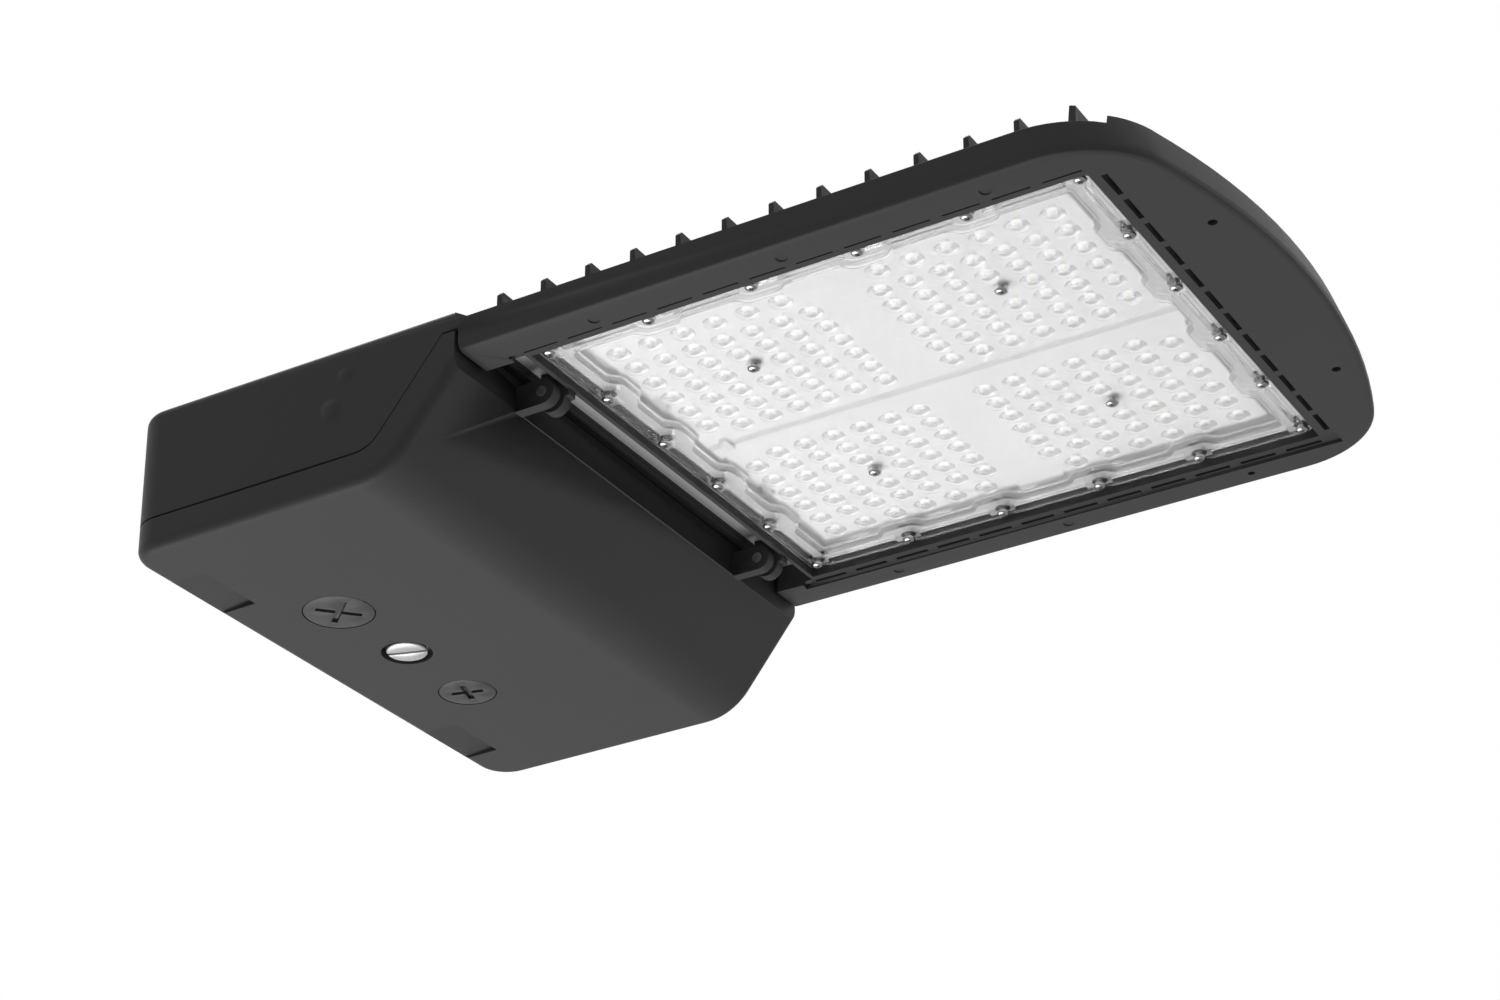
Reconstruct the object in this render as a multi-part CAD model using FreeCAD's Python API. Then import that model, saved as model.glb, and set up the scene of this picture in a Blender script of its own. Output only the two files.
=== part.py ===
"""Shoebox area light: a cast housing with a driver box behind a flat, finned LED head.

Row frame, in millimetres: the origin is the middle of the rear mounting face, +X runs forward to the
front tip, +Z is up and the lens faces down. Everything outside is symmetric about the XZ plane,
apart from the two threaded plugs, the order of the hinge lugs and the cast marks on one side wall.
"""
import FreeCAD, Part
import math
import os

Vector = FreeCAD.Vector
UP = Vector(0, 0, 1)

PEG_SIDES = 6               # sides of small screws, their bosses and their holes

# ---------------------------------------------------------------- driver box and door
BODY_WIDTH = 293.0          # outer width of the box and of the head
BOX_LENGTH = 175.5          # rear face to the front wall of the door
BOX_TOP = 28.0
DOOR_BOTTOM = -43.2
PARTING = -28.0             # level part of the line between box and door
PARTING_TOP = 17.1          # that line where it has climbed over the hinge
PARTING_FOOT = 132.6        # where the line starts to climb, before it is rounded
PARTING_BEND = 17.0         # radius there
PARTING_GAP = 0.8
GASKET_FROM_OUTSIDE = 1.4   # door gasket's outer edge to the outside of the box
DOOR_GASKET_HEIGHT = 2.4
RAMP_TOP = 0.0              # upper end of the door's sloping front
RAMP_ANGLE = 51.0
RAMP_BEND = 31.0            # outer radius between the door's floor and its slope
BOX_WALL = 3.6
BOX_CORNER = 16.5           # rear corners in plan
DOOR_FILLET = 4.5           # round the bottom of the door
TOP_FILLET = 5.0            # round the top of the box
TOP_SLOPE = 10.3            # length of the step down from the box to the head
TOP_SLOPE_BACK = 4.2        # how far behind the door's front wall that step starts

# ---------------------------------------------------------------- head
HEAD_GAP = 1.7              # between the door's front wall and the head
HEAD_TIP = 507.3            # front tip at the bezel face
BEZEL_FACE = 6.5
BEZEL_PLATE = 2.8
RIM_TOP = 22.0
NOSE_TOP = 26.2             # the rim is higher round the front
NOSE_START = 472.8
RIM_WALL = 3.0
FRONT_RADIUS = 380.0
FRONT_CORNER = 47.0
FRONT_LEAN = 0.32           # the front wall leans back by this much for each mm of height
BEZEL_ROUND = 3.5           # height of the bevels between bezel face and wall
SIDE_BEZEL = 16.5           # bezel face, outer edge to inner edge
REAR_BEZEL = 21.5           # the same beside the hinge channel
REAR_BEZEL_LENGTH = 14.8
PAN_REAR = 197.0            # rear face of the wall round the lens
PAN_WALL = 2.0
SIDE_PAN_WALL = 2.4
STRIP_FACE = 8.3            # sunk strip with the vent slots
STRIP_PLATE = 2.8
STRIP_WIDTH = 7.0           # lens pocket to bezel edge, at the sides
FRONT_STRIP_WIDTH = 8.7
PAN_FLOOR = 19.4            # underside of the heat sink plate, which the boards lie on
SLOT_WIDTH = 2.4
SIDE_SLOT_LENGTH = 17.0
FRONT_SLOT_LENGTH = 16.0
FRONT_SLOT_PITCH = 20.25
FRONT_SLOTS = 12
FIRST_FIN = 195.2
FIN_PITCH = 22.15
FINS = 13
FIN_TOP = 32.0
FIN_ROOT = 3.4
FIN_TIP = 2.2
FIN_INSET = 4.0             # fin end to the outside of the rim
FIN_CORNER = 2.0            # bevel at both ends of a fin's top
FRONT_RIB = 2.4
FRONT_RIB_TOP = 24.0
SHIELD_HOLE = 2.1           # two tapped holes in the front bezel
SHIELD_HOLE_INSET = 19.0
SHIELD_HOLE_SPACING = 136.0
SHIELD_HOLE_DEPTH = 7.0

# ---------------------------------------------------------------- lens and light engine
LENS_CLEARANCE = 0.8
LENS_FACE = 11.4            # outer face of the lens flange
LENS_FLANGE = 5.2
LENS_CHAMFER = 3.0
FIELD_INSET = 11.5          # lens edge to the sunk field with the domes
FIELD_FACE = 14.2
FIELD_BACK = 16.0
FIELD_JOG = 12.0            # radius by which the field keeps clear of each edge screw
POCKET_WIDTH = 3.7
POCKET_DEPTH = 3.6
POCKET_MARGIN = 6.5         # screw centre to the end of a pocket
SCREW_INSET = 4.7
SCREW_COLUMNS = 6
SCREW_ROWS = 6
LENS_SCREW_HEAD = 3.0
LENS_SCREW_HEIGHT = 1.65
LENS_SCREW_SHANK = 1.5
SCREW_CLEARANCE = 0.15
SCREW_END = 21.4
SCREW_BOSS = 3.6
DOME_BASE = 5.4
DOME_TOP = 3.3
DOME_HEIGHT = 2.2
DOME_SIDES = 6
INNER_COLUMN = 16.4         # first column of domes from the centre line
COLUMN_PITCH = 14.4
INNER_ROW = 15.8
ROW_PITCH = 13.2
INNER_GRID = 6
OUTER_ROW_GAP = 14.5        # between the last two rows
OUTER_ROW_FIRST = 23.0
OUTER_ROW_PITCH = 15.96
OUTER_COLUMN_FIRST = 22.3
OUTER_COLUMN_PITCH = 14.9
MODULE_STEP = 3             # the module screw takes the place of this dome, both ways
GASKET_OUTER_INSET = 8.0
GASKET_WIDTH = 4.0
GASKET_JOG = 7.0            # outer radius by which the lens gasket passes round a screw
BOARD_THICKNESS = 1.6
BOARD_GAP = 1.2
BOARD_INSET = 16.1          # lens edge to the board
BOARD_TAB_WIDTH = 23.0
BOARD_TAB_REACH = 6.0
LED_SIZE = 3.0
LED_HEIGHT = 0.7
SPACER_RADIUS = 3.4

# ---------------------------------------------------------------- hinge, screw and plugs
HINGE_X = 189.0
HINGE_Z = 5.5
HINGE_HALF_SPAN = 93.0
LUG_RADIUS = 6.2
LUG_WIDTH = 5.6
LUG_GAP = 2.8
PIN_RADIUS = 2.5
PIN_RUNNING = 0.05
PIN_SEAT = 0.02
PIN_HEAD = 0.9

CAPTIVE_X = 48.4
CAPTIVE_HEAD = 9.85
CAPTIVE_HEAD_HEIGHT = 5.0
CAPTIVE_RECESS = 12.2
CAPTIVE_BOSS = 15.6
CAPTIVE_FLOOR = 3.0
CAPTIVE_SHANK = 4.0
CAPTIVE_NECK = 3.0
CAPTIVE_PITCH = 1.25
CAPTIVE_TIP = -12.0
CAPTIVE_NECK_END = -25.5
POST_END = -18.5
POST_RADIUS = 7.2
POST_HOLE_TOP = -8.0
WASHER_RADIUS = 7.5
WASHER_THICKNESS = 1.4
RUNNING = 0.05

PLUG_X = 47.2
PLUG_OFFSET = 51.4
PLUG_HEAD_HEIGHT = 3.0
PLUG_RING_GAP = 0.35        # between a plug's head and its counterbore
LARGE_PLUG_HEAD = 16.5
LARGE_PLUG_SHANK = 13.2
SMALL_PLUG_HEAD = 13.8
SMALL_PLUG_SHANK = 10.4
PLUG_SHANK_LENGTH = 10.7
PLUG_BOSS_WALL = 4.0
PLUG_BOSS_HEIGHT = 8.6      # above the door's inside
ORING_SECTION = 0.78
ORING_SEAT = 0.02

POCKET_X = 21.0             # front wall of the two pockets in the door's rear edge
REAR_POCKET_SIDE = 31.0     # pocket to the side of the body
REAR_POCKET_LENGTH = 36.7
REAR_POCKET_DEEP = 3.0
REAR_POCKET_SHALLOW = 0.5
RIB_START = 66.0            # two ribs on the door's inside
RIB_OFFSET = 25.0
RIB_THICKNESS = 2.4
RIB_HEIGHT = 5.0

# ---------------------------------------------------------------- rear wall
BOLT_SPACING = 90.0
BOLT_HOLE = 4.5
BOLT_PAD = 11.0
BOLT_PAD_HEIGHT = 4.0
BUSHING_OUTER = 11.0
BUSHING_INNER = 8.0
BUSHING_FLANGE = 13.5
BUSHING_FLANGE_HEIGHT = 1.8
SEAT = 0.05

# ---------------------------------------------------------------- driver compartment
RAIL_HEIGHT = 2.0
DRIVER_X = 114.0
DRIVER_WIDTH = 60.0
DRIVER_LENGTH = 205.0
DRIVER_HEIGHT = 35.0
END_CAP = 4.0
EAR_LENGTH = 12.5
EAR_WIDTH = 18.0
EAR_THICKNESS = 3.0
BOSS_RADIUS = 5.5
FIXING_SHANK = 2.0
FIXING_HEAD = 3.8
FIXING_HEAD_HEIGHT = 2.6
FIXING_DEPTH = 4.0
TERMINAL_X = 34.0
TERMINAL_Y = -96.0
TERMINAL_SIZE = (24.0, 44.0, 22.0)
TERMINAL_WAY = 14.0
TERMINAL_BORE = 1.6
TERMINAL_UPPER = 9.0        # upper row of bores, from the mounting face
TERMINAL_LOWER = 15.0
SURGE_X = 36.0
SURGE_Y = 99.0
SURGE_SIZE = (28.0, 50.0, 26.0)
SURGE_EAR = 12.0
SURGE_EAR_THICKNESS = 4.0
GROUND_X = 64.0
GROUND_Y = -62.0
RING_TERMINAL = 1.4
DRIVER_LEAD_Z = 3.0
SURGE_LEAD_Z = 2.0
LEAD_SAG = -6.0             # height of the surge leads between the two ends
REAR_TURN = 8.0             # x of the surge lead nearest the rear wall
LEAD_PITCH = 4.0
LEAD_RADIUS = 1.3
LEAD_BEND = 5.0
WIREWAY_Y = 47.0
WIREWAY_Z = 23.2
WIREWAY_RADIUS = 2.6
WIREWAY_HALF_WIDTH = 6.5
WIREWAY_TOP = 27.0
WIREWAY_END = 214.6
LED_LEAD = 1.0
WIRE_SIDES = 6
LED_LEAD_OFFSET = 1.25

# ---------------------------------------------------------------- derived places
HALF_WIDTH = BODY_WIDTH / 2
HEAD_REAR = BOX_LENGTH + HEAD_GAP
CEILING = BOX_TOP - BOX_WALL
SIDE_INNER = HALF_WIDTH - SIDE_BEZEL                    # bezel's inner edge
POCKET_HALF = SIDE_INNER - STRIP_WIDTH                  # lens pocket
PAN_HALF = POCKET_HALF + SIDE_PAN_WALL
POCKET_REAR = PAN_REAR + PAN_WALL
BEZEL_FRONT = HEAD_TIP - 39.6                           # bezel's inner edge at the front
POCKET_FRONT = BEZEL_FRONT - FRONT_STRIP_WIDTH
PAN_FRONT = POCKET_FRONT + SIDE_PAN_WALL
LENS_REAR = POCKET_REAR + LENS_CLEARANCE
LENS_FRONT = POCKET_FRONT - LENS_CLEARANCE
LENS_HALF = POCKET_HALF - LENS_CLEARANCE
LENS_MIDDLE = (LENS_REAR + LENS_FRONT) / 2
LENS_BACK = LENS_FACE + LENS_FLANGE
BOARD_FACE = PAN_FLOOR - BOARD_THICKNESS
COMPONENT_TOP = CEILING - RAIL_HEIGHT
DOOR_INSIDE = DOOR_BOTTOM + BOX_WALL


# ---------------------------------------------------------------- small helpers
def block(x0, x1, y0, y1, z0, z1):
    return Part.makeBox(x1 - x0, y1 - y0, z1 - z0, Vector(x0, y0, z0))


def rod(radius, x, y, z0, z1):
    return Part.makeCylinder(radius, z1 - z0, Vector(x, y, z0), UP)


def peg(radius, x, y, z0, z1, sides=PEG_SIDES):
    """Upright prism with its corners on a circle, for what repeats many times."""
    corners = []
    for i in range(sides + 1):
        angle = 2 * math.pi * (i + 0.5) / sides
        corners.append(Vector(x + radius * math.cos(angle), y + radius * math.sin(angle), z0))
    return Part.Face(Part.makePolygon(corners)).extrude(Vector(0, 0, z1 - z0))


def peg_hole(radius, x, y, z0, z1, sides=PEG_SIDES):
    """Upright prism with its flats on a circle, so that a round or a peg of that radius fits."""
    return peg(radius / math.cos(math.pi / sides), x, y, z0, z1, sides)


def rod_along_y(radius, x, z, y0, y1):
    return Part.makeCylinder(radius, y1 - y0, Vector(x, y0, z), Vector(0, 1, 0))


def rod_along_x(radius, y, z, x0, x1):
    return Part.makeCylinder(radius, x1 - x0, Vector(x0, y, z), Vector(1, 0, 0))


def fuse(shapes):
    first = shapes[0]
    if len(shapes) == 1:
        return first
    return first.multiFuse(shapes[1:]).removeSplitter()


def mirror_y(shape):
    return shape.mirror(Vector(0, 0, 0), Vector(0, 1, 0))


def inset_polygon(corners, distance):
    """Moves each side of a convex anticlockwise polygon inwards by distance."""
    lines = []
    for (ax, ay), (bx, by) in zip(corners, corners[1:] + corners[:1]):
        length = math.hypot(bx - ax, by - ay)
        direction = ((bx - ax) / length, (by - ay) / length)
        start = (ax - direction[1] * distance, ay + direction[0] * distance)
        lines.append((start, direction))
    moved = []
    for (p, d), (q, e) in zip(lines[-1:] + lines[:-1], lines):
        cross = d[0] * e[1] - d[1] * e[0]
        along = ((q[0] - p[0]) * e[1] - (q[1] - p[1]) * e[0]) / cross
        moved.append((p[0] + d[0] * along, p[1] + d[1] * along))
    return moved


def rounded_wire(corners, radii, place):
    """Closed wire through 2-D corners with the given radii; place puts a 2-D point in space."""
    count = len(corners)
    starts = []
    ends = []
    middles = []
    for i, (corner, radius) in enumerate(zip(corners, radii)):
        here = Vector(corner[0], corner[1], 0)
        before = (Vector(*corners[i - 1], 0) - here).normalize()
        after = (Vector(*corners[(i + 1) % count], 0) - here).normalize()
        half_angle = before.getAngle(after) / 2
        tangent = radius / math.tan(half_angle)
        starts.append(here + before * tangent)
        ends.append(here + after * tangent)
        bisector = (before + after).normalize()
        middles.append(here + bisector * (radius / math.sin(half_angle) - radius))
    edges = []
    for i in range(count):
        if radii[i] > 0:
            arc = Part.Arc(place(starts[i]), place(middles[i]), place(ends[i]))
            edges.append(arc.toShape())
        following = (i + 1) % count
        edges.append(Part.makeLine(place(ends[i]), place(starts[following])))
    return Part.Wire(edges)


def side_prism(corners, radii, y0, y1):
    """Extrudes an outline drawn in X and Z along Y."""
    wire = rounded_wire(corners, radii, lambda p: Vector(p.x, y0, p.y))
    return Part.Face(wire).extrude(Vector(0, y1 - y0, 0))


def plan_prism(corners, radii, z0, z1):
    """Extrudes an outline drawn in X and Y upwards."""
    wire = rounded_wire(corners, radii, lambda p: Vector(p.x, p.y, z0))
    return Part.Face(wire).extrude(Vector(0, 0, z1 - z0))


def rectangle(x0, x1, y0, y1):
    return [(x0, y0), (x1, y0), (x1, y1), (x0, y1)]


def bend_points(points, bend):
    """Path with every inner corner cut off at the given distance from it."""
    places = [Vector(*p) for p in points]
    path = [places[0]]
    for previous, corner, following in zip(places, places[1:], places[2:]):
        path.append(corner + (previous - corner).normalize() * bend)
        path.append(corner + (following - corner).normalize() * bend)
    path.append(places[-1])
    return path


def lead(points, radius=LEAD_RADIUS, bend=LEAD_BEND):
    """Six-sided insulated wire: a prism along the path, mitred where the path turns."""
    path = bend_points(points, bend)
    directions = [(b - a).normalize() for a, b in zip(path, path[1:])]
    side = directions[0].cross(Vector(0.3, 0.2, 1)).normalize()
    other = directions[0].cross(side)
    ring = []
    for k in range(WIRE_SIDES):
        angle = 2 * math.pi * (k + 0.5) / WIRE_SIDES
        ring.append(path[0] + side * (radius * math.cos(angle)) + other * (radius * math.sin(angle)))
    rings = [ring]
    for k, direction in enumerate(directions):
        following = directions[min(k + 1, len(directions) - 1)]
        normal = direction + following
        end = path[k + 1]
        ring = [p + direction * ((end - p).dot(normal) / direction.dot(normal)) for p in ring]
        rings.append(ring)
    faces = [polygon_face(list(reversed(rings[0]))), polygon_face(rings[-1])]
    for near, far in zip(rings, rings[1:]):
        for k in range(WIRE_SIDES):
            m = (k + 1) % WIRE_SIDES
            faces.append(polygon_face([near[k], near[m], far[m], far[k]]))
    return Part.Solid(Part.Shell(faces))


def polygon_face(corners):
    return Part.Face(Part.makePolygon(corners + corners[:1]))


def fixing(x, y, seat, shank_radius, head_radius, head_height, top):
    """Screw with its head below seat and its shank going up to top."""
    head = peg(head_radius, x, y, seat - head_height, seat)
    return fuse([head, peg(shank_radius, x, y, seat - 0.2, top)])


# ---------------------------------------------------------------- the box envelope and its parting line
def box_outline(inset):
    """Side outline of the closed driver box, anticlockwise from the rear bottom corner."""
    ramp_foot = BOX_LENGTH - (RAMP_TOP - DOOR_BOTTOM) / math.tan(math.radians(RAMP_ANGLE))
    slope_start = BOX_LENGTH - TOP_SLOPE_BACK
    slope_drop = (BOX_TOP - RIM_TOP) * TOP_SLOPE_BACK / TOP_SLOPE
    corners = [
        (0, DOOR_BOTTOM),
        (ramp_foot, DOOR_BOTTOM),
        (BOX_LENGTH, RAMP_TOP),
        (BOX_LENGTH, BOX_TOP - slope_drop),
        (slope_start, BOX_TOP),
        (0, BOX_TOP),
    ]
    return inset_polygon(corners, inset)


def box_envelope(inset):
    """The closed box as a solid, with every face moved inwards by inset."""
    bend = max(RAMP_BEND - inset, 1.0)
    sides = side_prism(box_outline(inset), [0, bend, 0, 0, 0, 0], -HALF_WIDTH + inset,
                       HALF_WIDTH - inset)
    corner = max(BOX_CORNER - inset, 1.0)
    plan = plan_prism(rectangle(inset, BOX_LENGTH + 20, -HALF_WIDTH + inset, HALF_WIDTH - inset),
                      [corner, 0, 0, corner], DOOR_BOTTOM - 5, BOX_TOP + 5)
    return sides.common(plan)


def below_parting(shift):
    """Everything under the parting line, moved up by shift."""
    corners = [
        (-20, DOOR_BOTTOM - 30),
        (BOX_LENGTH + 8, DOOR_BOTTOM - 30),
        (BOX_LENGTH + 8, PARTING_TOP + shift),
        (parting_x(PARTING_TOP), PARTING_TOP + shift),
        (PARTING_FOOT, PARTING + shift),
        (-20, PARTING + shift),
    ]
    return side_prism(corners, [0, 0, 0, 1.5, PARTING_BEND, 0], -HALF_WIDTH - 20, HALF_WIDTH + 20)


def parting_x(height):
    """X of the climbing part of the parting line at a height."""
    return PARTING_FOOT + (height - PARTING) / math.tan(math.radians(RAMP_ANGLE))


def on_side(edge):
    """True for an edge that lies in one of the two side planes."""
    box = edge.BoundBox
    flat = abs(box.YMax - box.YMin) < 0.01
    return flat and abs(abs(box.YMin) - HALF_WIDTH) < 0.01


def rounded_box_envelope():
    """The outer envelope with the bottom and top edges rounded."""
    envelope = box_envelope(0)
    low_edges = []
    for edge in envelope.Edges:
        box = edge.BoundBox
        level = abs(box.ZMax - DOOR_BOTTOM) < 0.01
        front = abs(box.XMax - box.XMin) < 0.01 and box.XMin > BOX_LENGTH - 1
        across = level and abs(box.XMax - box.XMin) < 0.01 and box.XMin > 1
        under = box.ZMax < RAMP_TOP + 0.01
        if (level and not across) or (under and on_side(edge) and not front and not upright(edge)):
            low_edges.append(edge)
    envelope = envelope.makeFillet(DOOR_FILLET, low_edges)
    high_edges = []
    for edge in envelope.Edges:
        box = edge.BoundBox
        across_front = abs(box.XMax - box.XMin) < 0.01 and box.XMin > 1
        if box.ZMin > BOX_TOP - 0.01 and not across_front:
            high_edges.append(edge)
    return envelope.makeFillet(TOP_FILLET, high_edges)


def upright(edge):
    box = edge.BoundBox
    return box.XMax - box.XMin < 0.01 and box.YMax - box.YMin < 0.01


# ---------------------------------------------------------------- head
def head_tip(height, inset=0):
    return HEAD_TIP - inset - FRONT_LEAN * (height - BEZEL_FACE)


def head_outline(height, inset=0, rear_inset=0):
    """Plan outline of the head at a height: straight sides, round corners, bowed front."""
    half = HALF_WIDTH - inset
    radius = FRONT_RADIUS - inset
    corner = FRONT_CORNER - inset
    tip = head_tip(height, inset)
    centre = tip - radius
    corner_y = half - corner
    corner_x = centre + math.sqrt((radius - corner) ** 2 - corner_y ** 2)
    reach = radius / (radius - corner)
    touch = Vector(centre + (corner_x - centre) * reach, corner_y * reach, height)
    outward = (Vector(0, 1, 0) + Vector(corner_x - centre, corner_y, 0).normalize()).normalize()
    knee = Vector(corner_x, corner_y, height) + outward * corner
    rear = HEAD_REAR + rear_inset

    def other(p):
        return Vector(p.x, -p.y, p.z)

    side_end = Vector(corner_x, half, height)
    edges = [
        Part.makeLine(Vector(rear, -half, height), other(side_end)),
        Part.Arc(other(side_end), other(knee), other(touch)).toShape(),
        Part.Arc(other(touch), Vector(tip, 0, height), touch).toShape(),
        Part.Arc(touch, knee, side_end).toShape(),
        Part.makeLine(side_end, Vector(rear, half, height)),
        Part.makeLine(Vector(rear, half, height), Vector(rear, -half, height)),
    ]
    return Part.Wire(edges)


def head_block(z0, z1, inset=0, rear_inset=0):
    wires = [head_outline(z, inset, rear_inset) for z in (z0, z1)]
    return Part.makeLoft(wires, True, True)


def head_outside():
    """The head's outer form: two bevels round the bezel face, then the leaning wall."""
    levels = ((0.0, BEZEL_ROUND), (0.3 * BEZEL_ROUND, 0.3 * BEZEL_ROUND), (BEZEL_ROUND, 0.0),
              (NOSE_TOP - BEZEL_FACE, 0.0))
    wires = [head_outline(BEZEL_FACE + rise, inset) for rise, inset in levels]
    return Part.makeLoft(wires, True, True)


def fin(x):
    """One cross fin: it stands on the heat sink plate and reaches down into both gutters."""
    end = HALF_WIDTH - FIN_INSET
    low = BEZEL_FACE + BEZEL_PLATE - 0.5
    plate = RIM_TOP - 0.5
    inner = PAN_HALF - 0.5
    shoulder = FIN_TOP - FIN_CORNER
    corners = [(-end, low), (-inner, low), (-inner, plate), (inner, plate), (inner, low), (end, low),
               (end, shoulder), (end - FIN_CORNER, FIN_TOP), (FIN_CORNER - end, FIN_TOP),
               (-end, shoulder)]
    outline = polygon_face([Vector(x - FIN_ROOT, y, z) for y, z in corners])
    sheet = outline.extrude(Vector(2 * FIN_ROOT, 0, 0))
    root = FIN_ROOT / 2
    tip = FIN_TIP / 2
    taper = side_prism([(x - root, low), (x + root, low), (x + tip, FIN_TOP), (x - tip, FIN_TOP)],
                       [0, 0, 0, 0], -HALF_WIDTH, HALF_WIDTH)
    return sheet.common(taper)


def fin_places():
    return [FIRST_FIN + i * FIN_PITCH for i in range(FINS)]


def front_rib_places():
    return [(i - FRONT_SLOTS / 2) * FRONT_SLOT_PITCH for i in range(FRONT_SLOTS + 1)]


def front_slot_places():
    return [(i - (FRONT_SLOTS - 1) / 2) * FRONT_SLOT_PITCH for i in range(FRONT_SLOTS)]


def head_shell():
    """Rim, bezel face, open gutter, heat sink plate and the wall round the lens."""
    outer = head_outside()
    gutter = head_block(BEZEL_FACE + BEZEL_PLATE, NOSE_TOP + 8, RIM_WALL, RIM_WALL)
    shell = outer.cut(gutter)
    shell = shell.cut(block(HEAD_REAR - 1, NOSE_START, -HALF_WIDTH - 5, HALF_WIDTH + 5,
                            RIM_TOP, NOSE_TOP + 5))
    channel_half = HALF_WIDTH - REAR_BEZEL
    channel_front = HEAD_REAR + REAR_BEZEL_LENGTH
    shell = shell.cut(block(HEAD_REAR - 1, channel_front, -channel_half, channel_half,
                            BEZEL_FACE - 1, RIM_TOP + 1))
    shell = shell.cut(block(channel_front - 0.5, BEZEL_FRONT, -SIDE_INNER, SIDE_INNER,
                            BEZEL_FACE - 1, BEZEL_FACE + BEZEL_PLATE + 1))
    plate = block(HEAD_REAR, PAN_FRONT, -PAN_HALF - 2, PAN_HALF + 2, PAN_FLOOR, RIM_TOP)
    ring = block(PAN_REAR, PAN_FRONT, -PAN_HALF, PAN_HALF, STRIP_FACE, PAN_FLOOR + 1)
    ring = ring.cut(block(POCKET_REAR, POCKET_FRONT, -POCKET_HALF, POCKET_HALF,
                          STRIP_FACE - 1, PAN_FLOOR))
    strip = block(channel_front, BEZEL_FRONT + 2, -SIDE_INNER - 2, SIDE_INNER + 2, STRIP_FACE,
                  STRIP_FACE + STRIP_PLATE)
    strip = strip.cut(block(channel_front - 1, PAN_FRONT - 0.5, -PAN_HALF + 0.5, PAN_HALF - 0.5,
                            STRIP_FACE - 1, RIM_TOP))
    strip = strip.cut(block(channel_front - 1, PAN_REAR, -SIDE_INNER, SIDE_INNER,
                            STRIP_FACE - 1, RIM_TOP))
    cheeks = []
    for side in (-1, 1):
        low = min(side * channel_half, side * (channel_half + RIM_WALL))
        cheeks.append(block(HEAD_REAR, PAN_REAR + 0.5, low, low + RIM_WALL,
                            STRIP_FACE, RIM_TOP))
        cheeks.append(block(HEAD_REAR, channel_front, low, low + RIM_WALL,
                            BEZEL_FACE, RIM_TOP))
    return fuse([shell, plate, ring, strip] + cheeks)


def front_ribs():
    """Ribs that tie the lens wall to the front rim, between the front vent slots."""
    inside = head_block(BEZEL_FACE + 0.5, NOSE_TOP, 1.0)
    ribs = []
    for y in front_rib_places():
        rib = block(PAN_FRONT - 0.5, HEAD_TIP, y - FRONT_RIB / 2, y + FRONT_RIB / 2,
                    BEZEL_FACE + BEZEL_PLATE - 0.5, FRONT_RIB_TOP)
        ribs.append(rib.common(inside))
    return ribs


def vent_slots():
    """Through slots in the sunk strip, one between each two fins or ribs."""
    low = STRIP_FACE - 1
    high = STRIP_FACE + STRIP_PLATE + 1
    middle = (PAN_HALF + SIDE_INNER) / 2
    cutters = []
    for x in fin_places()[:-1]:
        centre = x + FIN_PITCH / 2
        for side in (-1, 1):
            y = side * middle
            cutters.append(block(centre - SIDE_SLOT_LENGTH / 2, centre + SIDE_SLOT_LENGTH / 2,
                                 y - SLOT_WIDTH / 2, y + SLOT_WIDTH / 2, low, high))
    front = (PAN_FRONT + BEZEL_FRONT) / 2
    for y in front_slot_places():
        cutters.append(block(front - SLOT_WIDTH / 2, front + SLOT_WIDTH / 2,
                             y - FRONT_SLOT_LENGTH / 2, y + FRONT_SLOT_LENGTH / 2, low, high))
    return cutters


# ---------------------------------------------------------------- screw and dome places
def edge_screw_places():
    """The twenty screws along the edge of the lens."""
    x0 = LENS_REAR + SCREW_INSET
    x1 = LENS_FRONT - SCREW_INSET
    y1 = LENS_HALF - SCREW_INSET
    step_x = (x1 - x0) / (SCREW_COLUMNS - 1)
    step_y = 2 * y1 / (SCREW_ROWS - 1)
    places = []
    for i in range(SCREW_COLUMNS):
        for j in range(SCREW_ROWS):
            if i in (0, SCREW_COLUMNS - 1) or j in (0, SCREW_ROWS - 1):
                places.append((x0 + i * step_x, -y1 + j * step_y))
    return places


def module_screw_places():
    dx = INNER_COLUMN + MODULE_STEP * COLUMN_PITCH
    dy = INNER_ROW + MODULE_STEP * ROW_PITCH
    return [(LENS_MIDDLE + sx * dx, sy * dy) for sx in (-1, 1) for sy in (-1, 1)]


def dome_offsets():
    """Dome places in one quadrant, from the middle of the lens."""
    places = []
    for i in range(INNER_GRID):
        for j in range(INNER_GRID):
            if (i, j) != (MODULE_STEP, MODULE_STEP):
                places.append((INNER_COLUMN + i * COLUMN_PITCH, INNER_ROW + j * ROW_PITCH))
    outer_y = INNER_ROW + (INNER_GRID - 1) * ROW_PITCH + OUTER_ROW_GAP
    outer_x = INNER_COLUMN + INNER_GRID * COLUMN_PITCH
    for i in range(INNER_GRID):
        places.append((OUTER_ROW_FIRST + i * OUTER_ROW_PITCH, outer_y))
    for j in range(INNER_GRID - 1):
        places.append((outer_x, OUTER_COLUMN_FIRST + j * OUTER_COLUMN_PITCH))
    return places


def dome_places():
    places = []
    for sx in (-1, 1):
        for sy in (-1, 1):
            places += [(LENS_MIDDLE + sx * dx, sy * dy) for dx, dy in dome_offsets()]
    return places


# ---------------------------------------------------------------- housing
def lug_block(y0, y1, x0, x1, top):
    """Hinge lug: a round end about the pivot and a web up to what carries it."""
    barrel = rod_along_y(LUG_RADIUS, HINGE_X, HINGE_Z, y0, y1)
    web = block(x0, x1, y0, y1, HINGE_Z, top)
    return barrel.fuse(web)


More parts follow.
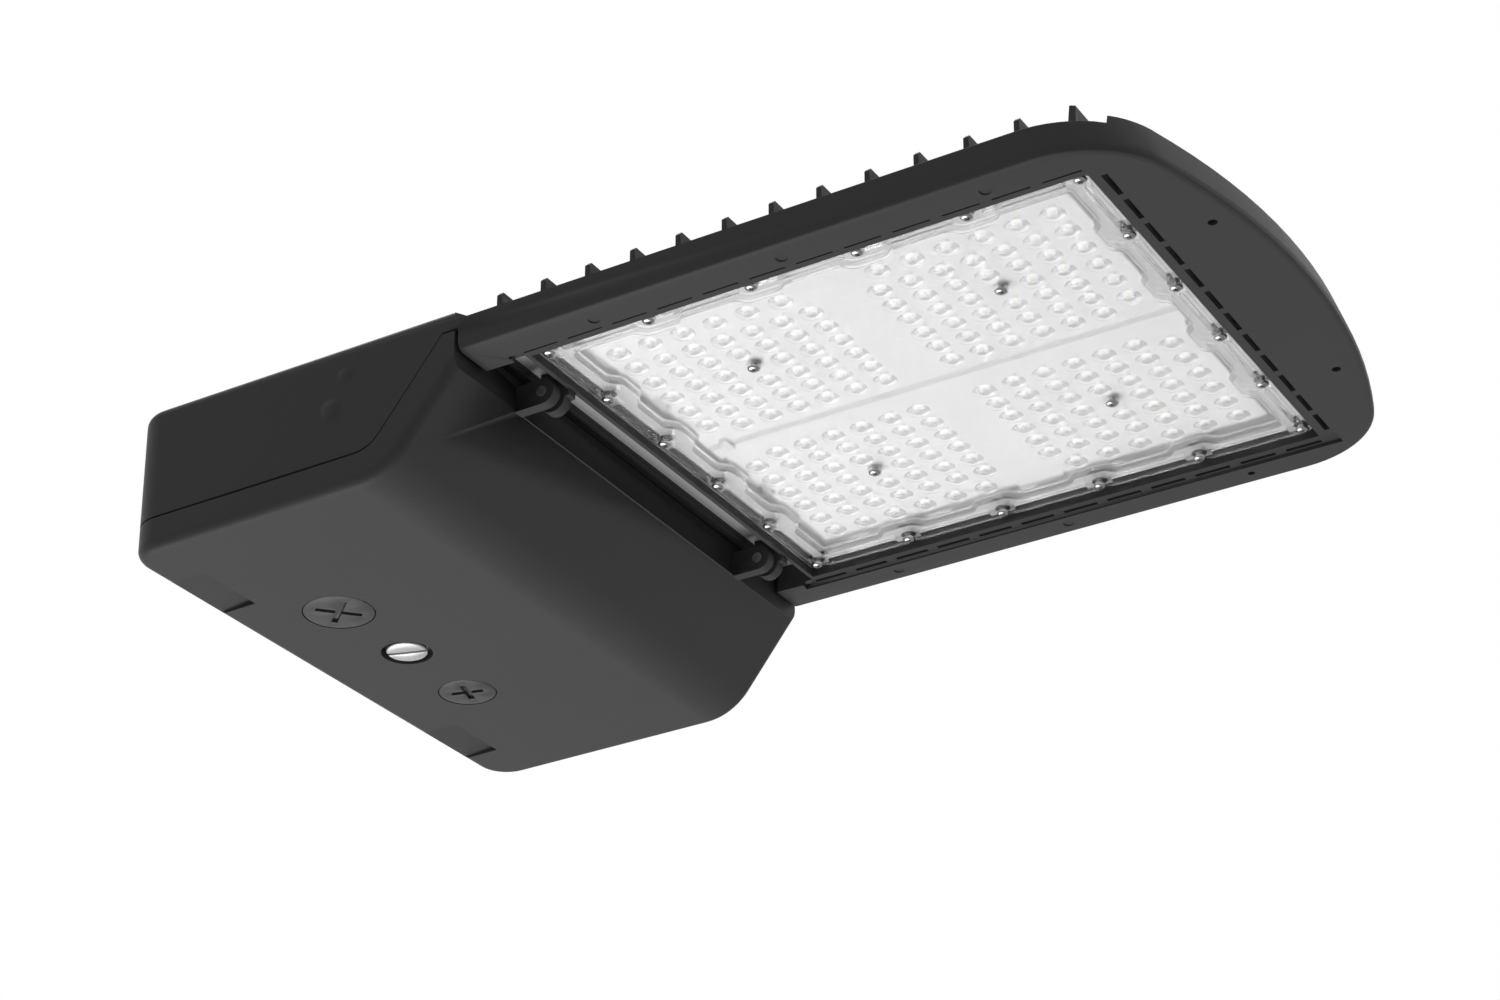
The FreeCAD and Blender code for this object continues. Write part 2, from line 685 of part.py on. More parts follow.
def housing_box():
    """Upper part of the driver box: outer shell above the parting line."""
    outer = rounded_box_envelope()
    shell = outer.cut(box_envelope(BOX_WALL)).cut(below_parting(PARTING_GAP / 2))
    floor = PARTING_TOP + PARTING_GAP / 2
    slope_end = BOX_LENGTH - TOP_SLOPE_BACK + TOP_SLOPE
    slope_drop = (BOX_TOP - RIM_TOP) * TOP_SLOPE_BACK / TOP_SLOPE
    bridge = side_prism([(BOX_LENGTH - 1, floor), (HEAD_REAR + RIM_WALL, floor),
                         (slope_end, RIM_TOP - 1), (slope_end, RIM_TOP),
                         (BOX_LENGTH - 1, BOX_TOP - slope_drop + 0.58)],
                        [0, 0, 0, 0, 0], -HALF_WIDTH, HALF_WIDTH)
    bridge = bridge.cut(block(BOX_LENGTH - 5, BOX_LENGTH, -HALF_WIDTH - 1, HALF_WIDTH + 1, 0, 40))
    return [shell, bridge]


def compartment_features():
    """Rails, bosses and the post cast under the roof of the driver box."""
    roof = CEILING + 0.5
    ear_y = DRIVER_LENGTH / 2 + END_CAP + EAR_LENGTH / 2
    features = []
    for side in (-1, 1):
        rail_y = side * DRIVER_LENGTH * 0.42
        features.append(block(DRIVER_X - DRIVER_WIDTH / 2, DRIVER_X + DRIVER_WIDTH / 2,
                              rail_y - 4, rail_y + 4, COMPONENT_TOP, roof))
        features.append(peg(BOSS_RADIUS, DRIVER_X, side * ear_y, COMPONENT_TOP, roof))
        pad = Part.makeCylinder(BOLT_PAD, BOLT_PAD_HEIGHT + 0.5,
                                Vector(BOX_WALL - 0.5, side * BOLT_SPACING / 2, 0),
                                Vector(1, 0, 0))
        features.append(pad)
    for x, y, size in ((TERMINAL_X, TERMINAL_Y, TERMINAL_SIZE), (SURGE_X, SURGE_Y, SURGE_SIZE)):
        features.append(block(x - size[0] / 2 + 2, x + size[0] / 2 - 2, y - size[1] / 2 + 3,
                              y + size[1] / 2 - 3, COMPONENT_TOP, roof))
    features.append(peg(BOSS_RADIUS, GROUND_X, GROUND_Y, COMPONENT_TOP, roof))
    features.append(rod(POST_RADIUS, CAPTIVE_X, 0, POST_END, roof))
    return features


def cast_marks():
    """Two low round marks on the -Y side wall."""
    marks = []
    for x, z, radius, rise in ((111.6, -2.5, 6.3, 1.3), (118.4, 12.5, 4.7, 0.9)):
        ball = (radius ** 2 + rise ** 2) / (2 * rise)
        centre = Vector(x, -HALF_WIDTH - rise + ball, z)
        cap = Part.makeSphere(ball, centre)
        window = block(x - radius - 1, x + radius + 1, -HALF_WIDTH - rise - 1, -HALF_WIDTH + 0.6,
                       z - radius - 1, z + radius + 1)
        marks.append(cap.common(window))
    return marks


def bezel_marks():
    """Shallow round sinks in the side bezels; the last one on the +Y side is a small deep hole."""
    cutters = []
    y = HALF_WIDTH - 10.5
    for x in (LENS_MIDDLE - 90.0, LENS_MIDDLE, LENS_MIDDLE + 92.0):
        for side in (-1, 1):
            deep = side > 0 and x > LENS_MIDDLE + 1
            radius = 1.7 if deep else 2.6
            depth = 2.2 if deep else 0.6
            cutters.append(rod(radius, x, side * y, BEZEL_FACE - 1, BEZEL_FACE + depth))
    return cutters


def housing():
    """The whole casting: box, head, fins, lugs, bosses and holes."""
    solids = housing_box() + [head_shell()]
    fin_room = head_block(BEZEL_FACE, FIN_TOP + 1, FIN_INSET / 2)
    solids += [fin(x).common(fin_room) for x in fin_places()]
    solids += front_ribs()
    solids += compartment_features()
    solids += cast_marks()
    lug_top = PAN_FLOOR + 1
    for side in (-1, 1):
        y0 = side * HINGE_HALF_SPAN + LUG_GAP / 2
        solids.append(lug_block(y0, y0 + LUG_WIDTH, HINGE_X - LUG_RADIUS, PAN_REAR + 0.5, lug_top))
        solids.append(rod(SHIELD_HOLE + 2.4, HEAD_TIP - SHIELD_HOLE_INSET,
                          side * SHIELD_HOLE_SPACING / 2, BEZEL_FACE + BEZEL_PLATE - 0.5,
                          BEZEL_FACE + SHIELD_HOLE_DEPTH + 2))
    for x, y in edge_screw_places():
        solids.append(peg(SCREW_BOSS, x, y, LENS_BACK, PAN_FLOOR + 0.5))
    solids.append(block(BOX_LENGTH - 3, WIREWAY_END + 4.5, WIREWAY_Y - WIREWAY_HALF_WIDTH,
                        WIREWAY_Y + WIREWAY_HALF_WIDTH, PAN_FLOOR, WIREWAY_TOP))
    casting = fuse(solids)

    cutters = vent_slots() + bezel_marks()
    for x, y in edge_screw_places() + module_screw_places():
        cutters.append(peg_hole(LENS_SCREW_SHANK + SEAT, x, y, LENS_BACK - 1, SCREW_END + 0.2))
    for side in (-1, 1):
        y0 = side * HINGE_HALF_SPAN + LUG_GAP / 2
        cutters.append(rod_along_y(PIN_RADIUS + PIN_SEAT, HINGE_X, HINGE_Z, y0 - 1,
                                   y0 + LUG_WIDTH + 1))
        cutters.append(rod(SHIELD_HOLE, HEAD_TIP - SHIELD_HOLE_INSET, side * SHIELD_HOLE_SPACING / 2,
                           BEZEL_FACE - 1, BEZEL_FACE + SHIELD_HOLE_DEPTH))
        cutters.append(Part.makeCylinder(BOLT_HOLE, BOX_WALL + BOLT_PAD_HEIGHT + 2,
                                         Vector(-1, side * BOLT_SPACING / 2, 0), Vector(1, 0, 0)))
    for x, y, _seat in fixing_places():
        cutters.append(peg_hole(FIXING_SHANK + SEAT, x, y, COMPONENT_TOP - 1,
                                COMPONENT_TOP + FIXING_DEPTH + 0.4))
    cutters.append(rod(CAPTIVE_SHANK + RUNNING, CAPTIVE_X, 0, POST_END - 1, POST_HOLE_TOP))
    cutters.append(rod_along_x(BUSHING_OUTER + SEAT, 0, 0, -1, BOX_WALL + 1))
    cutters.append(rod_along_x(WIREWAY_RADIUS, WIREWAY_Y, WIREWAY_Z, BOX_LENGTH - 12, WIREWAY_END))
    cutters.append(rod(WIREWAY_RADIUS, WIREWAY_END, WIREWAY_Y, PAN_FLOOR - 1, WIREWAY_Z + 1))
    return casting.cut(Part.makeCompound(cutters))


def fixing_places():
    """Screws that hold parts to the roof of the box: x, y and the face under the head."""
    ear_y = DRIVER_LENGTH / 2 + END_CAP + EAR_LENGTH / 2
    ear_seat = COMPONENT_TOP - EAR_THICKNESS
    places = [(DRIVER_X, -ear_y, ear_seat), (DRIVER_X, ear_y, ear_seat)]
    places.append((TERMINAL_X, TERMINAL_Y + TERMINAL_WAY / 2, COMPONENT_TOP - TERMINAL_SIZE[2] + 8))
    places.append((SURGE_X, SURGE_Y + (SURGE_SIZE[1] - SURGE_EAR) / 2,
                   COMPONENT_TOP - SURGE_EAR_THICKNESS))
    places.append((GROUND_X, GROUND_Y, COMPONENT_TOP - 1.4))
    return places


# ---------------------------------------------------------------- door
def plug_specs():
    """y, head radius and shank radius of the large and the small plug."""
    return ((-PLUG_OFFSET, LARGE_PLUG_HEAD, LARGE_PLUG_SHANK),
            (PLUG_OFFSET, SMALL_PLUG_HEAD, SMALL_PLUG_SHANK))


def plug_seat():
    return DOOR_BOTTOM + PLUG_HEAD_HEIGHT + 2 * ORING_SECTION + 2 * ORING_SEAT


def rear_pocket(y0):
    """Wedge-shaped pocket, deeper at its front wall, open at the rear edge of the door."""
    wedge = side_prism([(-5, DOOR_BOTTOM - 5), (POCKET_X, DOOR_BOTTOM - 5),
                        (POCKET_X, DOOR_BOTTOM + REAR_POCKET_DEEP),
                        (-5, DOOR_BOTTOM + REAR_POCKET_SHALLOW)], [0, 0, 0, 0],
                       y0, y0 + REAR_POCKET_LENGTH)
    return wedge


def driver_door():
    """Tray-like door with its rear pockets, plug bosses, screw cup and two hinge arms."""
    outer = rounded_box_envelope()
    shell = outer.cut(box_envelope(BOX_WALL))
    solids = [shell.common(below_parting(-PARTING_GAP / 2))]
    inside = DOOR_INSIDE - 0.5
    for y, _head, shank in plug_specs():
        solids.append(rod(shank + PLUG_BOSS_WALL, PLUG_X, y, inside, DOOR_INSIDE + PLUG_BOSS_HEIGHT))
        solids.append(rod(_head + 3.0, PLUG_X, y, inside, plug_seat() + 2.6))
    cup_floor = DOOR_BOTTOM + CAPTIVE_HEAD_HEIGHT
    solids.append(rod(CAPTIVE_BOSS, CAPTIVE_X, 0, inside, cup_floor + CAPTIVE_FLOOR))
    pocket_floor = DOOR_BOTTOM + REAR_POCKET_DEEP + 2.4
    for side in (-1, 1):
        centre = side * (HALF_WIDTH - REAR_POCKET_SIDE - REAR_POCKET_LENGTH / 2)
        solids.append(block(BOX_WALL - 0.5, POCKET_X + 2.6, centre - REAR_POCKET_LENGTH / 2 - 2.6,
                            centre + REAR_POCKET_LENGTH / 2 + 2.6, inside, pocket_floor))
        y1 = side * HINGE_HALF_SPAN - LUG_GAP / 2
        arm = block(BOX_LENGTH - 2.8, HINGE_X, y1 - LUG_WIDTH, y1, HINGE_Z - LUG_RADIUS,
                    HINGE_Z + LUG_RADIUS)
        solids.append(arm.fuse(rod_along_y(LUG_RADIUS, HINGE_X, HINGE_Z, y1 - LUG_WIDTH, y1)))
    for y in (-RIB_OFFSET, RIB_OFFSET):
        solids.append(block(RIB_START, PARTING_FOOT, y - RIB_THICKNESS / 2, y + RIB_THICKNESS / 2,
                            inside, DOOR_INSIDE + RIB_HEIGHT))
    door = fuse(solids)
    cutters = []
    for y, head, shank in plug_specs():
        cutters.append(rod(head + PLUG_RING_GAP, PLUG_X, y, DOOR_BOTTOM - 1, plug_seat()))
        cutters.append(rod(shank + RUNNING, PLUG_X, y, DOOR_BOTTOM, DOOR_INSIDE + 20))
    cutters.append(rod(CAPTIVE_RECESS, CAPTIVE_X, 0, DOOR_BOTTOM - 1, cup_floor))
    cutters.append(rod(CAPTIVE_SHANK + 0.3, CAPTIVE_X, 0, DOOR_BOTTOM, DOOR_INSIDE + 20))
    for side in (-1, 1):
        centre = side * (HALF_WIDTH - REAR_POCKET_SIDE - REAR_POCKET_LENGTH / 2)
        cutters.append(rear_pocket(centre - REAR_POCKET_LENGTH / 2))
        y1 = side * HINGE_HALF_SPAN - LUG_GAP / 2
        cutters.append(rod_along_y(PIN_RADIUS + PIN_RUNNING, HINGE_X, HINGE_Z, y1 - LUG_WIDTH - 1,
                                   y1 + 1))
    door = door.cut(Part.makeCompound(cutters))
    return door.cut(gasket_space(0.05))


def gasket_space(clearance):
    """Groove along the inner half of the door's rim, where its gasket lies."""
    band = box_envelope(GASKET_FROM_OUTSIDE - clearance).cut(box_envelope(BOX_WALL + 0.2))
    top = below_parting(PARTING_GAP / 2)
    bottom = below_parting(-DOOR_GASKET_HEIGHT + PARTING_GAP / 2 - clearance)
    return band.common(top.cut(bottom))


def door_gasket():
    band = box_envelope(GASKET_FROM_OUTSIDE).cut(box_envelope(BOX_WALL))
    top = below_parting(PARTING_GAP / 2 - 0.02)
    bottom = below_parting(-DOOR_GASKET_HEIGHT + PARTING_GAP / 2)
    return band.common(top.cut(bottom))


def hinge_pins():
    """Two pins: tight in the housing's lug, running in the door's arm."""
    pins = []
    for side in (-1, 1):
        y0 = side * HINGE_HALF_SPAN - LUG_GAP / 2 - LUG_WIDTH
        y1 = side * HINGE_HALF_SPAN + LUG_GAP / 2 + LUG_WIDTH
        shank = rod_along_y(PIN_RADIUS, HINGE_X, HINGE_Z, y0 - 0.6, y1 + PIN_HEAD)
        head = rod_along_y(PIN_RADIUS + 1.3, HINGE_X, HINGE_Z, y1 + 0.02, y1 + 0.02 + PIN_HEAD)
        pins.append(shank.fuse(head).removeSplitter())
    return Part.makeCompound(pins)


def captive_screw():
    """Large slotted screw: wide head, thin neck, full-size thread at its end."""
    head_face = DOOR_BOTTOM
    seat = DOOR_BOTTOM + CAPTIVE_HEAD_HEIGHT
    head = rod(CAPTIVE_HEAD, CAPTIVE_X, 0, head_face, seat - 0.05)
    rim = [edge for edge in head.Edges if abs(edge.BoundBox.ZMax - head_face) < 0.01]
    head = head.makeChamfer(0.7, rim)
    neck = rod(CAPTIVE_NECK, CAPTIVE_X, 0, seat - 1, CAPTIVE_NECK_END + 1)
    thread = rod(CAPTIVE_SHANK, CAPTIVE_X, 0, CAPTIVE_NECK_END, CAPTIVE_TIP)
    slot = block(-CAPTIVE_HEAD - 1, CAPTIVE_HEAD + 1, -1.1, 1.1, head_face - 1, head_face + 2.2)
    slot.rotate(Vector(0, 0, 0), UP, 17)
    slot.translate(Vector(CAPTIVE_X, 0, 0))
    return fuse([head, neck, thread]).cut(slot)


def captive_washer():
    """Retaining washer that rides on the neck under the thread and keeps the screw in the door."""
    top = CAPTIVE_NECK_END - 0.1
    ring = rod(WASHER_RADIUS, CAPTIVE_X, 0, top - WASHER_THICKNESS, top)
    return ring.cut(rod(CAPTIVE_NECK + RUNNING, CAPTIVE_X, 0, top - 5, top + 5))


def plug(y, head_radius, shank_radius, arm, slot, angle):
    """Closure plug with a flat head, a threaded barrel and a crossed driving slot."""
    face = DOOR_BOTTOM
    head = rod(head_radius, PLUG_X, y, face, face + PLUG_HEAD_HEIGHT)
    rim = [edge for edge in head.Edges if abs(edge.BoundBox.ZMax - face) < 0.01]
    head = head.makeChamfer(0.4, rim)
    barrel = rod(shank_radius, PLUG_X, y, face + 1, face + PLUG_HEAD_HEIGHT + PLUG_SHANK_LENGTH)
    bore = rod(shank_radius - 2.4, PLUG_X, y, face + PLUG_HEAD_HEIGHT + 1.5,
               face + PLUG_HEAD_HEIGHT + PLUG_SHANK_LENGTH + 1)
    body = fuse([head, barrel]).cut(bore)
    for turn in (angle, angle + 90):
        groove = block(-arm / 2, arm / 2, -slot / 2, slot / 2, face - 1, face + 2.0)
        groove.rotate(Vector(0, 0, 0), UP, turn)
        groove.translate(Vector(PLUG_X, y, 0))
        body = body.cut(groove)
    return body


def oring(y, head_radius, shank_radius):
    """Sealing ring between a plug's head and the floor of its counterbore, pressed flat."""
    middle = (head_radius + PLUG_RING_GAP + shank_radius + RUNNING) / 2
    low = DOOR_BOTTOM + PLUG_HEAD_HEIGHT + ORING_SEAT
    high = low + 2 * ORING_SECTION
    ring = rod(middle + ORING_SECTION, PLUG_X, y, low, high)
    return ring.cut(rod(middle - ORING_SECTION, PLUG_X, y, low - 1, high + 1))


# ---------------------------------------------------------------- light engine
def lens_rectangle(inset):
    return rectangle(LENS_REAR + inset, LENS_FRONT - inset, -LENS_HALF + inset, LENS_HALF - inset)


def jogged_prism(inset, jog, z0, z1):
    """Rectangle inside the lens edge that steps round every edge screw."""
    body = plan_prism(lens_rectangle(inset), [0, 0, 0, 0], z0, z1)
    jogs = [peg(jog, x, y, z0 - 1, z1 + 1) for x, y in edge_screw_places()]
    return body.cut(fuse(jogs))


def edge_pockets():
    """Long pockets in the flange, one between each two screws."""
    x0 = LENS_REAR + SCREW_INSET
    y1 = LENS_HALF - SCREW_INSET
    step_x = (LENS_FRONT - LENS_REAR - 2 * SCREW_INSET) / (SCREW_COLUMNS - 1)
    step_y = 2 * y1 / (SCREW_ROWS - 1)
    half = POCKET_WIDTH / 2
    low = LENS_FACE - 1
    high = LENS_FACE + POCKET_DEPTH
    cutters = []
    for i in range(SCREW_COLUMNS - 1):
        start = x0 + i * step_x + POCKET_MARGIN
        end = x0 + (i + 1) * step_x - POCKET_MARGIN
        for side in (-1, 1):
            cutters.append(block(start, end, side * y1 - half, side * y1 + half, low, high))
    for j in range(SCREW_ROWS - 1):
        start = -y1 + j * step_y + POCKET_MARGIN
        end = -y1 + (j + 1) * step_y - POCKET_MARGIN
        for x in (x0, LENS_FRONT - SCREW_INSET):
            cutters.append(block(x - half, x + half, start, end, low, high))
    return cutters


def dome(x, y):
    """One optic as a low six-sided frustum that stands out of the lens field."""

    def ring(radius, z):
        corners = []
        for k in range(DOME_SIDES):
            angle = 2 * math.pi * k / DOME_SIDES
            corners.append(Vector(x + radius * math.cos(angle), y + radius * math.sin(angle), z))
        return corners

    base = ring(DOME_BASE, FIELD_FACE)
    top = ring(DOME_TOP, FIELD_FACE - DOME_HEIGHT)
    faces = [polygon_face(base), polygon_face(list(reversed(top)))]
    for k in range(DOME_SIDES):
        m = (k + 1) % DOME_SIDES
        faces.append(polygon_face([base[m], base[k], top[k], top[m]]))
    return Part.Solid(Part.Shell(faces))


def lens():
    """Clear optic plate: thick pocketed flange, thin sunk field, 184 domes, screw holes."""
    cut_corners = []
    x0, x1, y1, c = LENS_REAR, LENS_FRONT, LENS_HALF, LENS_CHAMFER
    for px, py in ((x0 + c, -y1), (x1 - c, -y1), (x1, -y1 + c), (x1, y1 - c), (x1 - c, y1),
                   (x0 + c, y1), (x0, y1 - c), (x0, -y1 + c)):
        cut_corners.append((px, py))
    plate = plan_prism(cut_corners, [0] * 8, LENS_FACE, LENS_BACK)
    plate = plate.cut(jogged_prism(FIELD_INSET, FIELD_JOG, LENS_FACE - 1, FIELD_FACE))
    plate = plate.cut(jogged_prism(FIELD_INSET, FIELD_JOG, FIELD_BACK, LENS_BACK + 1))
    spacers = []
    for x, y in module_screw_places():
        spacers.append(peg(SPACER_RADIUS, x, y, FIELD_BACK - 0.3, BOARD_FACE))
    body = plate.fuse([dome(x, y) for x, y in dome_places()] + spacers)
    cutters = edge_pockets()
    for x, y in edge_screw_places() + module_screw_places():
        cutters.append(peg_hole(LENS_SCREW_SHANK + SCREW_CLEARANCE, x, y, LENS_FACE - 5,
                                BOARD_FACE + 1))
    return body.cut(Part.makeCompound(cutters))


def lens_gasket():
    """Silicone ring between lens and housing, which steps inwards round every screw boss."""
    outer = jogged_prism(GASKET_OUTER_INSET, GASKET_JOG, LENS_BACK + 0.02, PAN_FLOOR - 0.02)
    inner = jogged_prism(GASKET_OUTER_INSET + GASKET_WIDTH, GASKET_JOG + GASKET_WIDTH,
                         LENS_BACK - 1, PAN_FLOOR + 1)
    return outer.cut(inner)


def led_board(side):
    """White aluminium-core board for one half of the field, with tabs at the middle of its sides."""
    edge = BOARD_INSET
    near = BOARD_GAP / 2
    far = LENS_HALF - edge
    x0 = LENS_REAR + edge
    x1 = LENS_FRONT - edge
    half_tab = BOARD_TAB_WIDTH / 2
    pieces = [block(x0, x1, near, far, BOARD_FACE, PAN_FLOOR)]
    pieces.append(block(LENS_MIDDLE - half_tab, LENS_MIDDLE + half_tab, far - 1,
                        far + 2.5, BOARD_FACE, PAN_FLOOR))
    pieces.append(block(x0 - BOARD_TAB_REACH + 3.5, x1 + BOARD_TAB_REACH - 3.5, near, half_tab,
                        BOARD_FACE, PAN_FLOOR))
    board = fuse(pieces)
    notch = block(x0 - 10, WIREWAY_END + WIREWAY_RADIUS + 2, WIREWAY_Y - 6, WIREWAY_Y + 6,
                  BOARD_FACE - 1, PAN_FLOOR + 1)
    board = board.cut(notch)
    for x, y in edge_screw_places():
        board = board.cut(peg(GASKET_JOG + GASKET_WIDTH + 1, x, y, BOARD_FACE - 1, PAN_FLOOR + 1))
    for x, y in module_screw_places():
        board = board.cut(peg_hole(LENS_SCREW_SHANK + SCREW_CLEARANCE, x, y, BOARD_FACE - 1,
                                   PAN_FLOOR + 1))
    if side < 0:
        board = mirror_y(board)
    return board


def leds(side):
    """LED packages of one board, a group of separate solids."""
    half = LED_SIZE / 2
    packages = []
    for x, y in dome_places():
        if y * side > 0:
            packages.append(block(x - half, x + half, y - half, y + half, BOARD_FACE - LED_HEIGHT,
                                  BOARD_FACE))
    return Part.makeCompound(packages)


def board_jumper():
    """Small bridge connector that links the two boards at the rear tabs."""
    x = LENS_REAR + BOARD_INSET + 7.4
    return block(x - 2, x + 2, -4.5, 4.5, BOARD_FACE - 1.2, BOARD_FACE)


def lens_screws():
    screws = []
    for x, y in edge_screw_places():
        screws.append(fixing(x, y, LENS_FACE, LENS_SCREW_SHANK, LENS_SCREW_HEAD, LENS_SCREW_HEIGHT,
                             SCREW_END))
    return Part.makeCompound(screws)


def module_screws():
    screws = []
    for x, y in module_screw_places():
        screws.append(fixing(x, y, FIELD_FACE, LENS_SCREW_SHANK, LENS_SCREW_HEAD, 1.3, SCREW_END))
    return Part.makeCompound(screws)


# ---------------------------------------------------------------- driver compartment
def driver_case():
    """Extruded aluminium case of the LED driver, with two shallow flutes along its lower face."""
    bottom = COMPONENT_TOP - DRIVER_HEIGHT
    half = DRIVER_WIDTH / 2
    outline = rectangle(DRIVER_X - half, DRIVER_X + half, bottom, COMPONENT_TOP)
    case = side_prism(outline, [3, 3, 1, 1], -DRIVER_LENGTH / 2, DRIVER_LENGTH / 2)
    for x in (DRIVER_X - half / 2, DRIVER_X + half / 2):
        case = case.cut(block(x - 4, x + 4, -DRIVER_LENGTH, DRIVER_LENGTH, bottom - 1, bottom + 1.2))
    return case


def driver_end_caps():
    """Moulded end caps with the mounting ears."""
    bottom = COMPONENT_TOP - DRIVER_HEIGHT
    half = DRIVER_WIDTH / 2
    caps = []
    for side in (-1, 1):
        near = DRIVER_LENGTH / 2
        outline = rectangle(DRIVER_X - half, DRIVER_X + half, bottom, COMPONENT_TOP)
        cap = side_prism(outline, [3, 3, 1, 1], near, near + END_CAP)
        ear = plan_prism(rectangle(DRIVER_X - EAR_WIDTH / 2, DRIVER_X + EAR_WIDTH / 2,
                                   near + END_CAP - 1, near + END_CAP + EAR_LENGTH),
                         [0, 0, 5, 5], COMPONENT_TOP - EAR_THICKNESS, COMPONENT_TOP)
        cap = fuse([cap, ear])
        cutters = [peg_hole(FIXING_SHANK + SCREW_CLEARANCE, DRIVER_X,
                            near + END_CAP + EAR_LENGTH / 2, COMPONENT_TOP - 8, COMPONENT_TOP + 1)]
        exits = led_lead_exits() if side > 0 else input_lead_places()
        half_exit = LED_LEAD + 0.3 if side > 0 else TERMINAL_BORE
        for x in exits:
            cutters.append(block(x - half_exit, x + half_exit, near + END_CAP - 3.2,
                                 near + END_CAP + 1, DRIVER_LEAD_Z - half_exit,
                                 DRIVER_LEAD_Z + half_exit))
        cap = cap.cut(Part.makeCompound(cutters))
        caps.append(cap if side > 0 else mirror_y(cap))
    return Part.makeCompound(caps)


def box_screws(indices):
    """The fixing screws of the compartment, picked from fixing_places by number."""
    places = fixing_places()
    screws = []
    for index in indices:
        x, y, seat = places[index]
        screws.append(fixing(x, y, seat, FIXING_SHANK, FIXING_HEAD, FIXING_HEAD_HEIGHT,
                             COMPONENT_TOP + FIXING_DEPTH))
    return Part.makeCompound(screws)


def terminal_block():
    """Three-way terminal block with two square wire entries on each side of every way."""
    sx, sy, sz = TERMINAL_SIZE
    x, y, top = TERMINAL_X, TERMINAL_Y, COMPONENT_TOP
    bevel = 5.0
    body = side_prism([(x - sx / 2, top - sz + bevel), (x - sx / 2 + bevel, top - sz),
                       (x + sx / 2 - bevel, top - sz), (x + sx / 2, top - sz + bevel),
                       (x + sx / 2, top), (x - sx / 2, top)], [0] * 6, y - sy / 2, y + sy / 2)
    cutters = []
    for way in terminal_ways():
        for drop in (TERMINAL_UPPER, TERMINAL_LOWER):
            for x0, x1 in ((x + sx / 2 - 6, x + sx / 2 + 1), (x - sx / 2 - 1, x - sx / 2 + 6)):
                cutters.append(block(x0, x1, way - TERMINAL_BORE, way + TERMINAL_BORE,
                                     top - drop - TERMINAL_BORE, top - drop + TERMINAL_BORE))
    fixing_x, fixing_y, seat = fixing_places()[2]
    cutters.append(peg_hole(FIXING_HEAD + 0.3, fixing_x, fixing_y, top - sz - 1, seat))
    cutters.append(peg_hole(FIXING_SHANK + SCREW_CLEARANCE, fixing_x, fixing_y, seat - 1, top + 1))
    return body.cut(Part.makeCompound(cutters))


def terminal_ways():
    return [TERMINAL_Y + i * TERMINAL_WAY for i in (-1, 0, 1)]


def surge_lead_places():
    return [SURGE_X + i * 5.0 - 5.0 for i in (-1, 0, 1)]


def surge_protector():
    """Potted surge protector: a rounded block with one mounting ear and three lead exits."""
    sx, sy, sz = SURGE_SIZE
    x0, y0, top = SURGE_X - sx / 2, SURGE_Y - sy / 2, COMPONENT_TOP
    y1 = y0 + sy - SURGE_EAR
    body = plan_prism(rectangle(x0, x0 + sx, y0, y1), [3, 3, 3, 3], top - sz, top)
    ear = plan_prism(rectangle(x0 + 4, x0 + sx - 4, y1 - 2, y0 + sy), [0, 0, 6, 6],
                     top - SURGE_EAR_THICKNESS, top)
    body = fuse([body, ear])
    cutters = []
    for x in surge_lead_places():
        cutters.append(block(x - TERMINAL_BORE, x + TERMINAL_BORE, y0 - 1, y0 + 4,
                             SURGE_LEAD_Z - TERMINAL_BORE, SURGE_LEAD_Z + TERMINAL_BORE))
    fixing_x, fixing_y, _seat = fixing_places()[3]
    cutters.append(peg_hole(FIXING_SHANK + SCREW_CLEARANCE, fixing_x, fixing_y, top - 10, top + 1))
    return body.cut(Part.makeCompound(cutters))


def surge_leads():
    """Three leads from the surge protector, past the post, to the rear of the terminal block."""
    start = SURGE_Y - SURGE_SIZE[1] / 2 + 3.5
    end_x = TERMINAL_X - TERMINAL_SIZE[0] / 2 + 5
    end_z = COMPONENT_TOP - TERMINAL_LOWER
    wires = []
    turn = REAR_TURN
    for x, way in zip(surge_lead_places(), terminal_ways()):
        wires.append(lead([(x, start, SURGE_LEAD_Z), (x, start - 12, SURGE_LEAD_Z),
                           (x, start - 30, LEAD_SAG), (x, -48, LEAD_SAG), (turn, -74, LEAD_SAG),
                           (turn, way, end_z), (end_x, way, end_z)], LEAD_RADIUS, 3.0))
        turn += LEAD_PITCH
    return Part.makeCompound(wires)


def input_lead_places():
    """X of the mains leads where they enter the driver's end cap."""
    return (DRIVER_X - 12.0, DRIVER_X - 12.0 - LEAD_PITCH)


def input_leads():
    """Two mains leads from the terminal block round into the driver's -Y end."""
    start_x = TERMINAL_X + TERMINAL_SIZE[0] / 2 - 5
    start_z = COMPONENT_TOP - TERMINAL_UPPER
    end_y = -DRIVER_LENGTH / 2 - END_CAP + 3
    wires = []
    far = -DRIVER_LENGTH / 2 - 34.0
    turn = TERMINAL_X + TERMINAL_SIZE[0] / 2 + 9.0
    for x, way in zip(input_lead_places(), terminal_ways()):
        wires.append(lead([(start_x, way, start_z), (turn, way, start_z), (turn, far, DRIVER_LEAD_Z),
                           (x, far, DRIVER_LEAD_Z), (x, end_y, DRIVER_LEAD_Z)]))
        turn += LEAD_PITCH + 1
        far += LEAD_PITCH
    return Part.makeCompound(wires)


